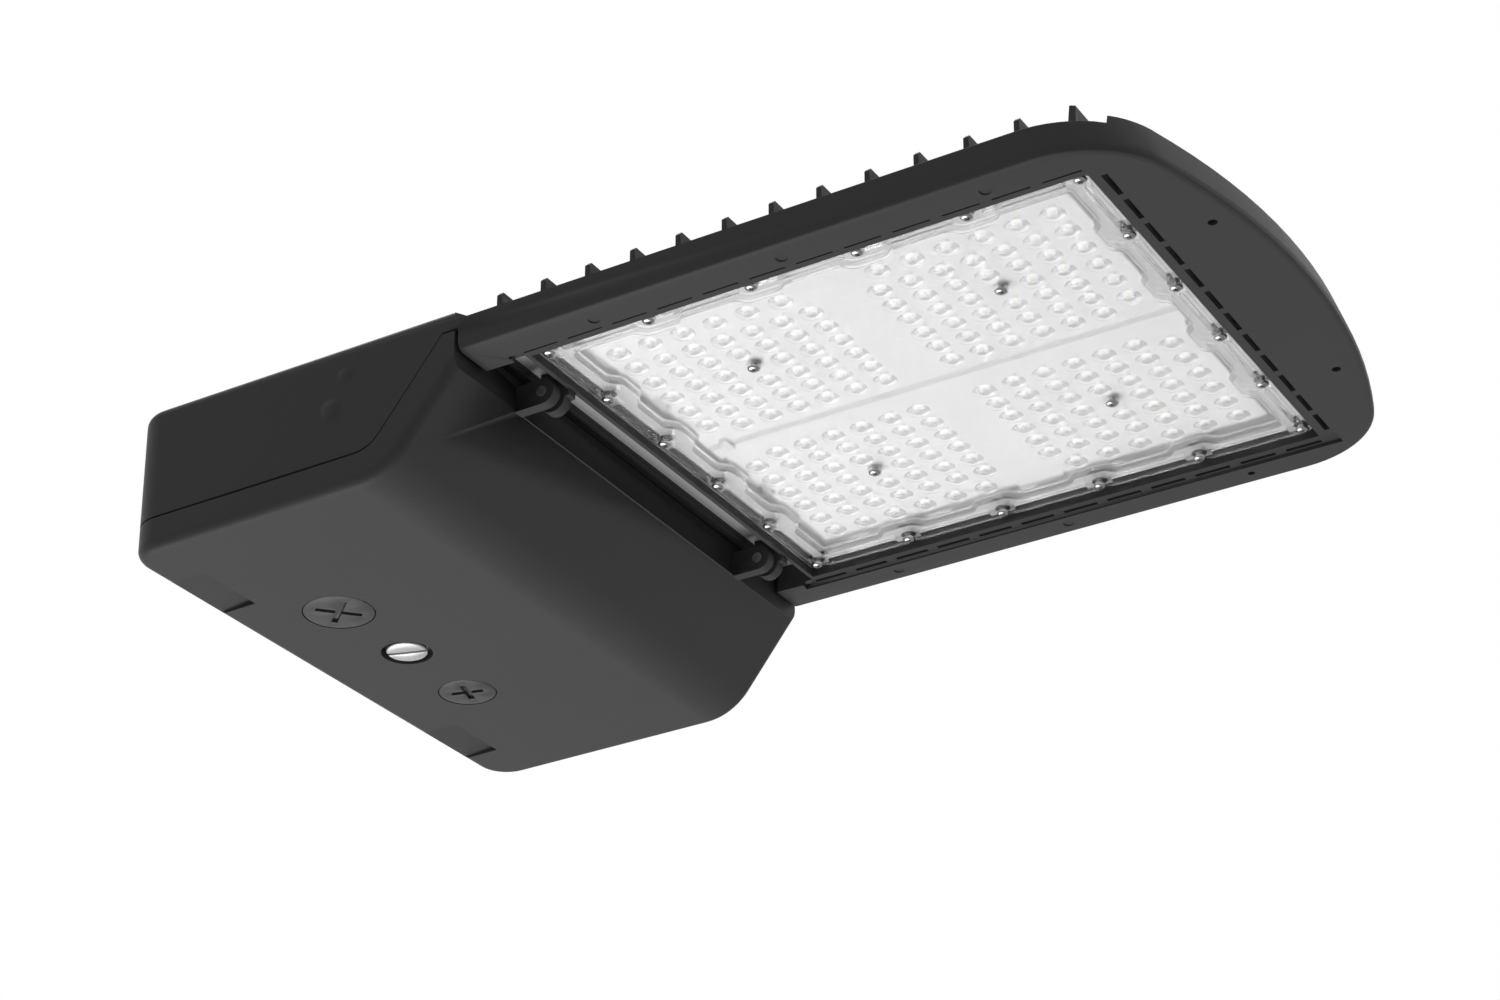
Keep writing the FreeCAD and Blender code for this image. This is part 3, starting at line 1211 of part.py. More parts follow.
def ground_lead():
    """Ground lead with the ring terminal under the ground screw."""
    start_x = TERMINAL_X + TERMINAL_SIZE[0] / 2 - 5
    start_z = COMPONENT_TOP - TERMINAL_UPPER
    way = terminal_ways()[2]
    ring_low = COMPONENT_TOP - RING_TERMINAL + 0.05
    ring_high = COMPONENT_TOP - 0.05
    wire_z = ring_low + 0.4
    wire = lead([(start_x, way, start_z), (GROUND_X, way, start_z), (GROUND_X, way + 11, wire_z),
                 (GROUND_X, GROUND_Y - BOSS_RADIUS - 0.8, wire_z)], LEAD_RADIUS, 1.2)
    tongue = block(GROUND_X - 1.6, GROUND_X + 1.6, GROUND_Y - BOSS_RADIUS - 2.4, GROUND_Y - 2.5,
                   ring_low, ring_high)
    ring = peg(4.6, GROUND_X, GROUND_Y, ring_low, ring_high)
    hole = peg_hole(FIXING_SHANK + SCREW_CLEARANCE, GROUND_X, GROUND_Y, 0, 40)
    eye = fuse([ring, tongue]).cut(hole)
    return fuse([wire, eye])


def led_lead_rows():
    """Y of the two leads inside the wireway."""
    return (WIREWAY_Y - LED_LEAD_OFFSET, WIREWAY_Y + LED_LEAD_OFFSET)


def led_lead_exits():
    """X of the two leads where they leave the driver's +Y end cap."""
    return (DRIVER_X + 12.0 + LEAD_PITCH, DRIVER_X + 12.0)


def led_leads():
    """Two leads from the driver, through the sealed wireway, down to the edge of the board."""
    start_y = DRIVER_LENGTH / 2 + END_CAP - 3
    front = 152.0
    far = DRIVER_LENGTH / 2 + 19.5
    low = PAN_FLOOR - LED_LEAD - 0.05
    wires = []
    for x, row in zip(led_lead_exits(), led_lead_rows()):
        wires.append(lead([(x, start_y, DRIVER_LEAD_Z), (x, far, DRIVER_LEAD_Z),
                           (front, far, DRIVER_LEAD_Z), (front, row, WIREWAY_Z),
                           (WIREWAY_END, row, WIREWAY_Z), (WIREWAY_END, row, low),
                           (WIREWAY_END + WIREWAY_RADIUS + 1.8, row, low)], LED_LEAD, 1.6))
        front += LEAD_PITCH
        far += LEAD_PITCH
    return Part.makeCompound(wires)


def wireway_seal():
    """Silicone plug that closes the wireway round both leads."""
    seal = rod_along_x(WIREWAY_RADIUS - ORING_SEAT, WIREWAY_Y, WIREWAY_Z, HEAD_REAR, HEAD_REAR + 12)
    for row in led_lead_rows():
        seal = seal.cut(rod_along_x(LED_LEAD + ORING_SEAT, row, WIREWAY_Z, BOX_LENGTH, PAN_REAR))
    return seal


def wire_bushing():
    """Rubber bushing in the rear wall, with its flange on the inside."""
    sleeve = rod_along_x(BUSHING_OUTER, 0, 0, 0.2, BOX_WALL + 0.5)
    flange = rod_along_x(BUSHING_FLANGE, 0, 0, BOX_WALL + 0.02, BOX_WALL + BUSHING_FLANGE_HEIGHT)
    return fuse([sleeve, flange]).cut(rod_along_x(BUSHING_INNER, 0, 0, -1, 20))


# ---------------------------------------------------------------- all parts
def build_parts():
    """Node name and shape of every part."""
    (large_y, large_head, large_shank), (small_y, small_head, small_shank) = plug_specs()
    return [
        ("housing", housing()),
        ("driver_door", driver_door()),
        ("door_gasket", door_gasket()),
        ("hinge_pins", hinge_pins()),
        ("captive_screw", captive_screw()),
        ("captive_washer", captive_washer()),
        ("large_plug", plug(large_y, large_head, large_shank, 21.0, 2.1, 48.0)),
        ("large_plug_oring", oring(large_y, large_head, large_shank)),
        ("small_plug", plug(small_y, small_head, small_shank, 16.0, 2.4, 17.0)),
        ("small_plug_oring", oring(small_y, small_head, small_shank)),
        ("lens", lens()),
        ("lens_gasket", lens_gasket()),
        ("lens_screws", lens_screws()),
        ("module_screws", module_screws()),
        ("led_board_right", led_board(1)),
        ("led_board_left", led_board(-1)),
        ("leds_right", leds(1)),
        ("leds_left", leds(-1)),
        ("board_jumper", board_jumper()),
        ("driver_case", driver_case()),
        ("driver_end_caps", driver_end_caps()),
        ("driver_screws", box_screws((0, 1))),
        ("terminal_block", terminal_block()),
        ("terminal_block_screw", box_screws((2,))),
        ("surge_protector", surge_protector()),
        ("surge_protector_screw", box_screws((3,))),
        ("ground_screw", box_screws((4,))),
        ("input_leads", input_leads()),
        ("surge_leads", surge_leads()),
        ("ground_lead", ground_lead()),
        ("led_leads", led_leads()),
        ("wireway_seal", wireway_seal()),
        ("wire_bushing", wire_bushing()),
    ]


os.makedirs("parts", exist_ok=True)
for name, shape in build_parts():
    shape.exportStep("parts/" + name + ".step")
    print(name, len(shape.Solids), "solids", round(shape.Volume / 1000, 2), "cm3", shape.isValid())
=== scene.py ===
# %% [markdown]
# # A shoebox area light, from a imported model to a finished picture
# The light is a flat box on a pole: a cast aluminium housing with cooling fins on top, a drop-down
# door under the driver, and a clear optic plate over rows of LEDs. The shapes that carry load come
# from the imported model, which is loaded first and never moved. Everything after that adds what the
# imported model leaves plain: rounded edges, threads, screw recesses, the optics and every finish.

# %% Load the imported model
import math

import bmesh
import bpy
from mathutils import Matrix, Vector
from mathutils.geometry import delaunay_2d_cdt


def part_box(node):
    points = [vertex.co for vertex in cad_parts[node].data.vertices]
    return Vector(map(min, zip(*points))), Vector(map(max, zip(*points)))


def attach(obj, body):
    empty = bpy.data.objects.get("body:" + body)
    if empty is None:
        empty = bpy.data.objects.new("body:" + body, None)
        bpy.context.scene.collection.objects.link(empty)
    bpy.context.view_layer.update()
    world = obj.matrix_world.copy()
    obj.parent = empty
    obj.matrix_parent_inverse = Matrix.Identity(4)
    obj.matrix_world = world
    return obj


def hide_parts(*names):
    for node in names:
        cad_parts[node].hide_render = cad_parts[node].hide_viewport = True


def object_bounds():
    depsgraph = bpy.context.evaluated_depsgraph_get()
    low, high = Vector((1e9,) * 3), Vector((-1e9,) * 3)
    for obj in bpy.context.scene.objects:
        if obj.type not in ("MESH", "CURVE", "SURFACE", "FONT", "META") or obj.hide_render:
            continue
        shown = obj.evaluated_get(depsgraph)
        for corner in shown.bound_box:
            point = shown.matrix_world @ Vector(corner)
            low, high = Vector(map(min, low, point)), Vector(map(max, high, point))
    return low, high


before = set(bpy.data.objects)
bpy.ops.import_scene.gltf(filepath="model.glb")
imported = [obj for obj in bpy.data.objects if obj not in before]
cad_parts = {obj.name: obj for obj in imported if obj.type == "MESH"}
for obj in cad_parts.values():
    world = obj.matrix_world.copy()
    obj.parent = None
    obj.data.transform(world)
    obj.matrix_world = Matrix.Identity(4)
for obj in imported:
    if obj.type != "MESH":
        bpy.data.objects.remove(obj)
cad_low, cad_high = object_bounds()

MM = 0.001
print("packed box, mm:", [round(v / MM, 1) for v in (*cad_low, *cad_high)])


# %% [markdown]
# ## The camera
# The photograph was taken from below, in front and to one side, with a long lens. The place and the
# three directions were solved from the twenty screws round the optic plate, whose real grid is
# known. A camera in Blender looks along its own minus Z, so its matrix holds right, up and back.

# %% Camera
CAMERA_PLACE = Vector((0.86104, -1.10469, -0.69685))
CAMERA_RIGHT = Vector((0.86430, 0.50258, -0.02009))
CAMERA_UP = Vector((0.25300, -0.39988, 0.88096))
FOCAL_LENGTH = 77.5
SENSOR_WIDTH = 36.0


def new_object(name, data):
    """New object in the scene."""
    made = bpy.data.objects.new(name, data)
    bpy.context.scene.collection.objects.link(made)
    return made


camera_data = bpy.data.cameras.new("camera")
camera_data.lens = FOCAL_LENGTH
camera_data.sensor_fit = "HORIZONTAL"
camera_data.sensor_width = SENSOR_WIDTH
camera = new_object("camera", camera_data)
camera_back = CAMERA_RIGHT.cross(CAMERA_UP)
turn = Matrix((CAMERA_RIGHT, CAMERA_UP, camera_back)).transposed()
camera.matrix_world = Matrix.Translation(CAMERA_PLACE) @ turn.to_4x4()
bpy.context.scene.camera = camera
bpy.context.scene.view_settings.view_transform = "Standard"
print("camera to the middle of the light, m:", round((CAMERA_PLACE - (cad_low + cad_high) / 2).length, 3))


# ## The studio
# The light floats on white in the photograph. A sky that is white to the camera, to reflections and
# to clear plastic gives that, while the light that falls on the object stays at a plain level. Three
# soft lamps do the rest: a key from below and behind, a lamp above, and a weak one beyond the nose.

# %% World and lamps
AMBIENT = 0.26


def feed(node, *values, **named):
    """Gives a node's inputs values or links; an underscore in a name stands for a space."""
    labelled = [(label.replace("_", " "), value) for label, value in named.items()]
    for key, value in [*enumerate(values), *labelled]:
        if isinstance(value, bpy.types.NodeSocket):
            node.id_data.links.new(value, node.inputs[key])
        else:
            node.inputs[key].default_value = value
    return node


def add(tree, kind, *values, **named):
    """New node, fed at once."""
    return feed(tree.nodes.new(kind), *values, **named)


def join_values(tree, operation, first, second):
    """Result of a math node on two values or links."""
    math_node = add(tree, "ShaderNodeMath", first, second)
    math_node.operation = operation
    return math_node.outputs[0]


world = bpy.data.worlds.new("studio_sky")
bpy.context.scene.world = world
world.use_nodes = True
sky = world.node_tree
light_path = sky.nodes.new("ShaderNodeLightPath")
seen = join_values(sky, "MAXIMUM", light_path.outputs["Is Camera Ray"],
                   light_path.outputs["Is Glossy Ray"])
seen = join_values(sky, "MAXIMUM", seen, light_path.outputs["Is Transmission Ray"])
extra = join_values(sky, "MULTIPLY", seen, 1.0 - AMBIENT)
strength = join_values(sky, "ADD", extra, AMBIENT)
feed(sky.nodes["Background"], Color=(1.0, 1.0, 1.0, 1.0), Strength=strength)


def softbox(name, place, target, size, level):
    """Square area lamp; level 1 lights a white face that looks straight at it to full white."""
    lamp = bpy.data.lights.new(name, "AREA")
    lamp.shape = "SQUARE"
    lamp.size = size
    away = Vector(place) - Vector(target)
    lamp.energy = level * (math.pi * away.length) ** 2
    holder = new_object(name, lamp)
    holder.location = place
    holder.rotation_mode = "QUATERNION"
    holder.rotation_quaternion = away.to_track_quat("Z", "Y")
    holder.visible_camera = False
    return holder


MIDDLE = (cad_low + cad_high) / 2
softbox("key_below", MIDDLE + Vector((-0.9, 0.3, -1.6)), MIDDLE, 1.3, 0.70)
softbox("top", MIDDLE + Vector((-0.5, 0.7, 2.2)), MIDDLE, 1.8, 0.60)
softbox("side", MIDDLE + Vector((1.9, 1.3, 0.1)), MIDDLE, 1.0, 0.10)


# %% [markdown]
# ## Finishes
# Each finish is a Principled shader whose colour, roughness and relief change over the surface. The
# slow changes and the fine grain are wanted in nearly every finish, so they are one shader group
# with named inputs, placed in each material with its own values. The group reads the position on
# the object, so the pattern stays with the piece when the door swings.

# %% Shader groups
FLOAT, COLOUR, VECTOR = "NodeSocketFloat", "NodeSocketColor", "NodeSocketVector"
SURFACE = [("Colour", COLOUR), ("Roughness", FLOAT), ("Height", FLOAT)]
NOISE_BAND = (0.3, 0.7)         # nearly all of a noise lies between these values


def group_tree(name, kind, inputs, outputs):
    """Empty node group with its sockets, as (tree, input node, output node)."""
    tree = bpy.data.node_groups.new(name, kind)
    for label, socket_type, *default in inputs:
        socket = tree.interface.new_socket(name=label, in_out="INPUT", socket_type=socket_type)
        if default:
            socket.default_value = default[0]
    for label, socket_type in outputs:
        tree.interface.new_socket(name=label, in_out="OUTPUT", socket_type=socket_type)
    return tree, tree.nodes.new("NodeGroupInput"), tree.nodes.new("NodeGroupOutput")


def noise(tree, vector, scale, detail):
    texture = add(tree, "ShaderNodeTexNoise", Vector=vector, Scale=scale, Detail=detail)
    return texture.outputs["Fac"]


def spread(tree, value, low, high):
    """Stretches the band low...high of a noise to 0...1."""
    ranged = add(tree, "ShaderNodeMapRange", Value=value, From_Min=low, From_Max=high)
    return ranged.outputs["Result"]


def blend_colours(tree, factor, first, second):
    mix = tree.nodes.new("ShaderNodeMix")
    mix.data_type = "RGBA"
    tree.links.new(factor, mix.inputs["Factor"])
    for socket, value in zip([s for s in mix.inputs if s.type == "RGBA"], (first, second)):
        tree.links.new(value, socket)
    return [s for s in mix.outputs if s.type == "RGBA"][0]


def make_skin_group():
    """Slow mottling and fine grain, for anything cast, coated or moulded."""
    tree, given, made = group_tree("skin", "ShaderNodeTree", [
        ("Vector", VECTOR), ("Colour", COLOUR), ("Mottle Colour", COLOUR),
        ("Mottle Scale", FLOAT, 30.0), ("Mottle Amount", FLOAT, 0.5), ("Grain Scale", FLOAT, 900.0),
        ("Roughness", FLOAT, 0.5), ("Roughness Spread", FLOAT, 0.1)], SURFACE)
    take = given.outputs
    slow = spread(tree, noise(tree, take["Vector"], take["Mottle Scale"], 4.0), *NOISE_BAND)
    grain = noise(tree, take["Vector"], take["Grain Scale"], 3.0)
    amount = join_values(tree, "MULTIPLY", slow, take["Mottle Amount"])
    colour = blend_colours(tree, amount, take["Colour"], take["Mottle Colour"])
    both = join_values(tree, "SUBTRACT", join_values(tree, "ADD", slow, grain), 1.0)
    swing = join_values(tree, "MULTIPLY", both, take["Roughness Spread"])
    roughness = join_values(tree, "ADD", take["Roughness"], swing)
    feed(made, Colour=colour, Roughness=roughness, Height=grain)
    return tree


def make_streak_group():
    """Fine parallel lines, for brushed, drawn and extruded metal and for wire."""
    tree, given, made = group_tree("streaks", "ShaderNodeTree", [
        ("Vector", VECTOR), ("Stretch", VECTOR, (1.0, 1.0, 1.0)), ("Colour", COLOUR),
        ("Line Colour", COLOUR), ("Line Scale", FLOAT, 1500.0), ("Roughness", FLOAT, 0.3),
        ("Roughness Spread", FLOAT, 0.15)], SURFACE)
    take = given.outputs
    squeezed = add(tree, "ShaderNodeVectorMath", take["Vector"], take["Stretch"])
    squeezed.operation = "MULTIPLY"
    lines = spread(tree, noise(tree, squeezed.outputs[0], take["Line Scale"], 2.0), *NOISE_BAND)
    colour = blend_colours(tree, lines, take["Colour"], take["Line Colour"])
    swing = join_values(tree, "MULTIPLY", lines, take["Roughness Spread"])
    roughness = join_values(tree, "ADD", take["Roughness"], swing)
    feed(made, Colour=colour, Roughness=roughness, Height=lines)
    return tree


SKIN = make_skin_group()
STREAKS = make_streak_group()
print("shader groups:", SKIN.name, STREAKS.name)


# %% [markdown]
# A finish is then one call: the group, its values, a bump for the relief, and the settings that are
# the same all over the surface, which go straight on the shader's own sockets.

# %% Build the finishes
def full_colour(colour):
    """Colour socket's value for a grey level, or for red, green and blue."""
    return (colour, colour, colour, 1.0) if isinstance(colour, float) else (*colour, 1.0)


def new_material(name):
    material = bpy.data.materials.new(name)
    material.use_nodes = True
    tree = material.node_tree
    return material, tree, tree.nodes.new("ShaderNodeTexCoord").outputs["Object"]


def finish(name, group, values, relief, shader_values):
    """Material with one surface group feeding colour, roughness and relief."""
    material, tree, position = new_material(name)
    surface = tree.nodes.new("ShaderNodeGroup")
    surface.node_tree = group
    feed(surface, Vector=position, **values)
    bump = add(tree, "ShaderNodeBump", Strength=1.0, Distance=relief,
                Height=surface.outputs["Height"])
    feed(tree.nodes["Principled BSDF"], Base_Color=surface.outputs["Colour"],
         Roughness=surface.outputs["Roughness"], Normal=bump.outputs["Normal"], **shader_values)
    return material


def skin(name, colour, mottle, relief, roughness, mottle_scale=30.0, grain_scale=900.0,
         roughness_spread=0.08, **shader_values):
    values = dict(Colour=full_colour(colour), Mottle_Colour=full_colour(mottle), Mottle_Amount=0.6,
                  Mottle_Scale=mottle_scale, Grain_Scale=grain_scale, Roughness=roughness,
                  Roughness_Spread=roughness_spread)
    return finish(name, SKIN, values, relief, shader_values)


def streaks(name, colour, line, relief, roughness, stretch, line_scale=1500.0, roughness_spread=0.15,
            **shader_values):
    values = dict(Colour=full_colour(colour), Line_Colour=full_colour(line), Line_Scale=line_scale,
                  Stretch=stretch, Roughness=roughness, Roughness_Spread=roughness_spread)
    return finish(name, STREAKS, values, relief, shader_values)


POWDER = skin("powder_coat", 0.058, 0.066, 0.00006, 0.50, mottle_scale=14.0,
              grain_scale=700.0, Specular_IOR_Level=0.12)
PLUG_PLASTIC = skin("plug_plastic", 0.028, 0.034, 0.00003, 0.46, grain_scale=1600.0)
BLACK_PLASTIC = skin("black_plastic", 0.020, 0.028, 0.00004, 0.48, grain_scale=1300.0)
RUBBER = skin("gasket_rubber", 0.016, 0.024, 0.00004, 0.72, grain_scale=1100.0)
SILICONE = skin("silicone", 0.60, 0.54, 0.00003, 0.55, grain_scale=800.0)
BARE_ALUMINIUM = streaks("machined_aluminium", 0.62, 0.50, 0.00001, 0.42,
                         (0.06, 1.0, 1.0), line_scale=1800.0, Metallic=0.6)
STAINLESS = streaks("stainless", 0.55, 0.42, 0.00001, 0.30, (1.0, 0.15, 1.0), Metallic=1.0)
ZINC = skin("zinc_plate", 0.62, 0.50, 0.00003, 0.40, mottle_scale=220.0,
            grain_scale=2600.0, Metallic=1.0)
CHROME = skin("screw_chrome", 0.52, 0.46, 0.000005, 0.20, mottle_scale=300.0,
              grain_scale=3000.0, roughness_spread=0.04, Metallic=1.0)
NYLON = skin("nylon", (0.72, 0.71, 0.66), (0.66, 0.65, 0.60), 0.00002, 0.45)
SOLDER_MASK = skin("white_solder_mask", 0.86, 0.82, 0.00001, 0.38, mottle_scale=60.0,
                   grain_scale=2400.0)
LED_BODY = skin("led_ceramic", 0.84, 0.80, 0.00001, 0.45, grain_scale=5000.0)
PHOSPHOR = skin("led_phosphor", (0.90, 0.89, 0.82), (0.87, 0.85, 0.76), 0.00001, 0.35,
                mottle_scale=900.0, grain_scale=5000.0)
WHITE_PLASTIC = skin("white_plastic", 0.78, 0.72, 0.00002, 0.40)
DRIVER_METAL = streaks("driver_case_metal", 0.58, 0.47, 0.00001, 0.36, (1.0, 0.05, 1.0),
                       line_scale=1400.0, Metallic=0.9)
TERMINAL_PLASTIC = skin("terminal_plastic", (0.62, 0.62, 0.60), (0.55, 0.55, 0.53),
                        0.00002, 0.42)
GREEN_ZINC = skin("green_screw", (0.03, 0.30, 0.09), (0.02, 0.22, 0.07), 0.00001, 0.32,
                  mottle_scale=300.0, Metallic=0.6)


def wire_finish(name, colour, shade):
    return streaks(name, colour, shade, 0.00001, 0.34, (1.0, 1.0, 1.0), line_scale=900.0,
                   roughness_spread=0.06)


MAINS_WIRE = wire_finish("mains_lead", 0.03, 0.04)
SURGE_WIRE = wire_finish("surge_lead", (0.55, 0.55, 0.53), (0.48, 0.48, 0.46))
GREEN_WIRE = wire_finish("green_lead", (0.03, 0.22, 0.07), (0.02, 0.17, 0.05))
LED_WIRE = wire_finish("led_lead", (0.72, 0.72, 0.70), (0.66, 0.66, 0.64))


ACRYLIC_INDEX = 1.49


def clear_plastic(name, tint, base_roughness, alpha, transmission=1.0):
    """Clear optic plastic; to shadow rays it is fully open, so that lamps reach the boards."""
    material, tree, position = new_material(name)
    haze = spread(tree, noise(tree, position, 40.0, 3.0), 0.2, 0.8)
    roughness = join_values(tree, "ADD", join_values(tree, "MULTIPLY", haze, 0.03), base_roughness)
    shader = feed(tree.nodes["Principled BSDF"], Base_Color=full_colour(tint), Alpha=alpha,
                  Transmission_Weight=transmission, IOR=ACRYLIC_INDEX, Roughness=roughness)
    shadow = tree.nodes.new("ShaderNodeLightPath").outputs["Is Shadow Ray"]
    open_way = tree.nodes.new("ShaderNodeBsdfTransparent").outputs[0]
    choice = add(tree, "ShaderNodeMixShader", shadow, shader.outputs[0], open_way)
    feed(tree.nodes["Material Output"], Surface=choice.outputs[0])
    return material


CLEAR = clear_plastic("clear_optic", 1.0, 0.02, 0.6)
FROSTED = clear_plastic("frosted_optic", 0.72, 0.30, 0.85)
FLANGE = clear_plastic("flange_optic", 0.88, 0.10, 0.9, transmission=0.62)
print("finishes:", len(bpy.data.materials))


# %% [markdown]
# The floor lies far below, so that a view from underneath isn't blocked.

# %% Floor
FLOOR_HALF, FLOOR_DROP = 7.0, 2.6
floor_mesh = bpy.data.meshes.new("floor")
floor_corners = [(sx * FLOOR_HALF, sy * FLOOR_HALF, -FLOOR_DROP)
                 for sx, sy in ((-1, -1), (1, -1), (1, 1), (-1, 1))]
floor_mesh.from_pydata(floor_corners, [], [(0, 1, 2, 3)])
floor = new_object("floor", floor_mesh)
floor_mesh.materials.append(skin("floor_paper", 0.86, 0.84, 0.0001, 0.9, mottle_scale=2.0))
print("floor height, m:", -FLOOR_DROP)


# %% [markdown]
# ## Helpers for pieces
# A finished piece is a plain mesh whose object stands at the origin, rides on one body of the packed
# model and, where it stands for imported nodes, hides them. Modifiers do the shaping, and their result
# is written back as a plain mesh at the end.

# %% Piece helpers
def evaluated_mesh(obj):
    """Plain mesh of an object as its modifiers or its bevel leave it."""
    bpy.context.view_layer.update()
    depsgraph = bpy.context.evaluated_depsgraph_get()
    return bpy.data.meshes.new_from_object(obj.evaluated_get(depsgraph), depsgraph=depsgraph)


def settle(obj):
    """Writes the result of an object's modifiers into its mesh and removes them."""
    mesh = evaluated_mesh(obj)
    obj.modifiers.clear()
    obj.data = mesh
    return obj


def wear(obj, *materials):
    obj.data.materials.clear()
    for material in materials:
        obj.data.materials.append(material)


def hand_over(obj, body, slot, *nodes):
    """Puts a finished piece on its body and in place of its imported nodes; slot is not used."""
    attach(obj, body)
    if nodes:
        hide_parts(*nodes)
    triangles = sum(len(p.vertices) - 2 for p in obj.data.polygons)
    print(f"{obj.name}: {triangles} triangles on {body}")


def shade(mesh, angle):
    mesh.polygons.foreach_set("use_smooth", [True] * len(mesh.polygons))
    mesh.set_sharp_from_angle(angle=math.radians(angle))


def remove_objects(*objects):
    for obj in objects:
        bpy.data.objects.remove(obj)


# %% [markdown]
# ## Castings and covers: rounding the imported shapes
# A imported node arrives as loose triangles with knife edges. Real castings, mouldings and folded
# metal have a small radius on every edge, and that thin highlight is what the eye reads as real.
# A copy of the mesh is merged, its flat areas become single faces, and a Bevel modifier rounds what
# is left. Weighted normals keep the flat faces flat.

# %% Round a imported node
WELD = 0.02 * MM
FLAT_WITHIN = math.radians(1.0)


def packed_copy(node, name):
    """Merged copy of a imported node, with flat areas as single faces."""
    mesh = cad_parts[node].data.copy()
    work = bmesh.new()
    work.from_mesh(mesh)
    bmesh.ops.remove_doubles(work, verts=work.verts, dist=WELD)
    bmesh.ops.dissolve_limit(work, angle_limit=FLAT_WITHIN, verts=work.verts, edges=work.edges)
    work.to_mesh(mesh)
    work.free()
    mesh.name = name
    return new_object(name, mesh)


def round_edges(piece, width, angle, offset_type):
    """Bevel modifier on every edge that is sharper than angle, in degrees."""
    bevel = piece.modifiers.new("edge radius", "BEVEL")
    bevel.width = width
    bevel.segments = 2
    bevel.offset_type = offset_type
    bevel.limit_method = "ANGLE"
    bevel.angle_limit = math.radians(angle)
    bevel.use_clamp_overlap = False


def soften(node, name, width):
    """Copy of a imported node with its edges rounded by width."""
    piece = packed_copy(node, name)
    piece.data.polygons.foreach_set("use_smooth", [True] * len(piece.data.polygons))
    round_edges(piece, width, 32.0, "ABSOLUTE")
    normals = piece.modifiers.new("flat faces", "WEIGHTED_NORMAL")
    normals.weight = 80
    settle(piece)
    return piece


def cover_node(node, name, width, material, slot, body="fixture"):
    """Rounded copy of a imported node, in one finish and in its place."""
    piece = soften(node, name, width)
    wear(piece, material)
    hand_over(piece, body, slot, node)


CAST_EDGE = 0.45 * MM
PAN_FLOOR = 19.4 * MM           # the machined floor behind the boards
housing = soften("housing", "cast_housing", CAST_EDGE)
wear(housing, POWDER, BARE_ALUMINIUM)
for face in housing.data.polygons:
    if face.normal.z < -0.95 and abs(face.center.z - PAN_FLOOR) < 0.3 * MM:
        face.material_index = 1
hand_over(housing, "fixture", "powder_coat", "housing")
cover_node("driver_door", "cast_door", CAST_EDGE, POWDER, "powder_coat", "door")


# %% [markdown]
# ## Sheets with holes
# The optic plate, its gasket and other flat pieces are a few closed loops joined by walls and capped
# by flat faces with holes. A small builder keeps the points and faces: a wall is a loop repeated at
# several insets and heights, and a cap is a constrained triangulation between one outer loop and
# any number of holes. Because caps reuse the walls' points, the result is closed without merging.

# %% Loops
def circle(x, y, radius, sides, phase=0.0):
    """Anticlockwise loop of points on a circle."""
    angles = [2 * math.pi * (k + phase) / sides for k in range(sides)]
    return [Vector((x + radius * math.cos(a), y + radius * math.sin(a))) for a in angles]


def rounded(corners, radius, steps):
    """Loop with each corner replaced by a short curve that starts radius away from it."""
    loop = []
    count = len(corners)
    for k, corner in enumerate(corners):
        arms = []
        for other in (corners[k - 1], corners[(k + 1) % count]):
            arm = other - corner
            arms.append(corner + arm.normalized() * min(radius, arm.length * 0.45))
        for s in range(steps + 1):
            t = s / steps
            loop.append(arms[0] * (1 - t) ** 2 + corner * (2 * t * (1 - t)) + arms[1] * t ** 2)
    return loop


def inset(loop, distance):
    """Moves an anticlockwise loop inwards by distance, or outwards where it is negative."""
    moved = []
    for k, point in enumerate(loop):
        before = (point - loop[k - 1]).normalized()
        after = (loop[(k + 1) % len(loop)] - point).normalized()
        first = Vector((-before.y, before.x))
        middle = (first + Vector((-after.y, after.x))).normalized()
        moved.append(point + middle * (distance / max(middle.dot(first), 0.35)))
    return moved


def inside(point, loop):
    """Even-odd test of a point against a loop."""
    hit = False
    for a, b in zip(loop, loop[1:] + loop[:1]):
        if (a.y > point.y) != (b.y > point.y):
            if point.x < a.x + (point.y - a.y) / (b.y - a.y) * (b.x - a.x):
                hit = not hit
    return hit


# %% The sheet builder
SAME_POINT = 1e-8


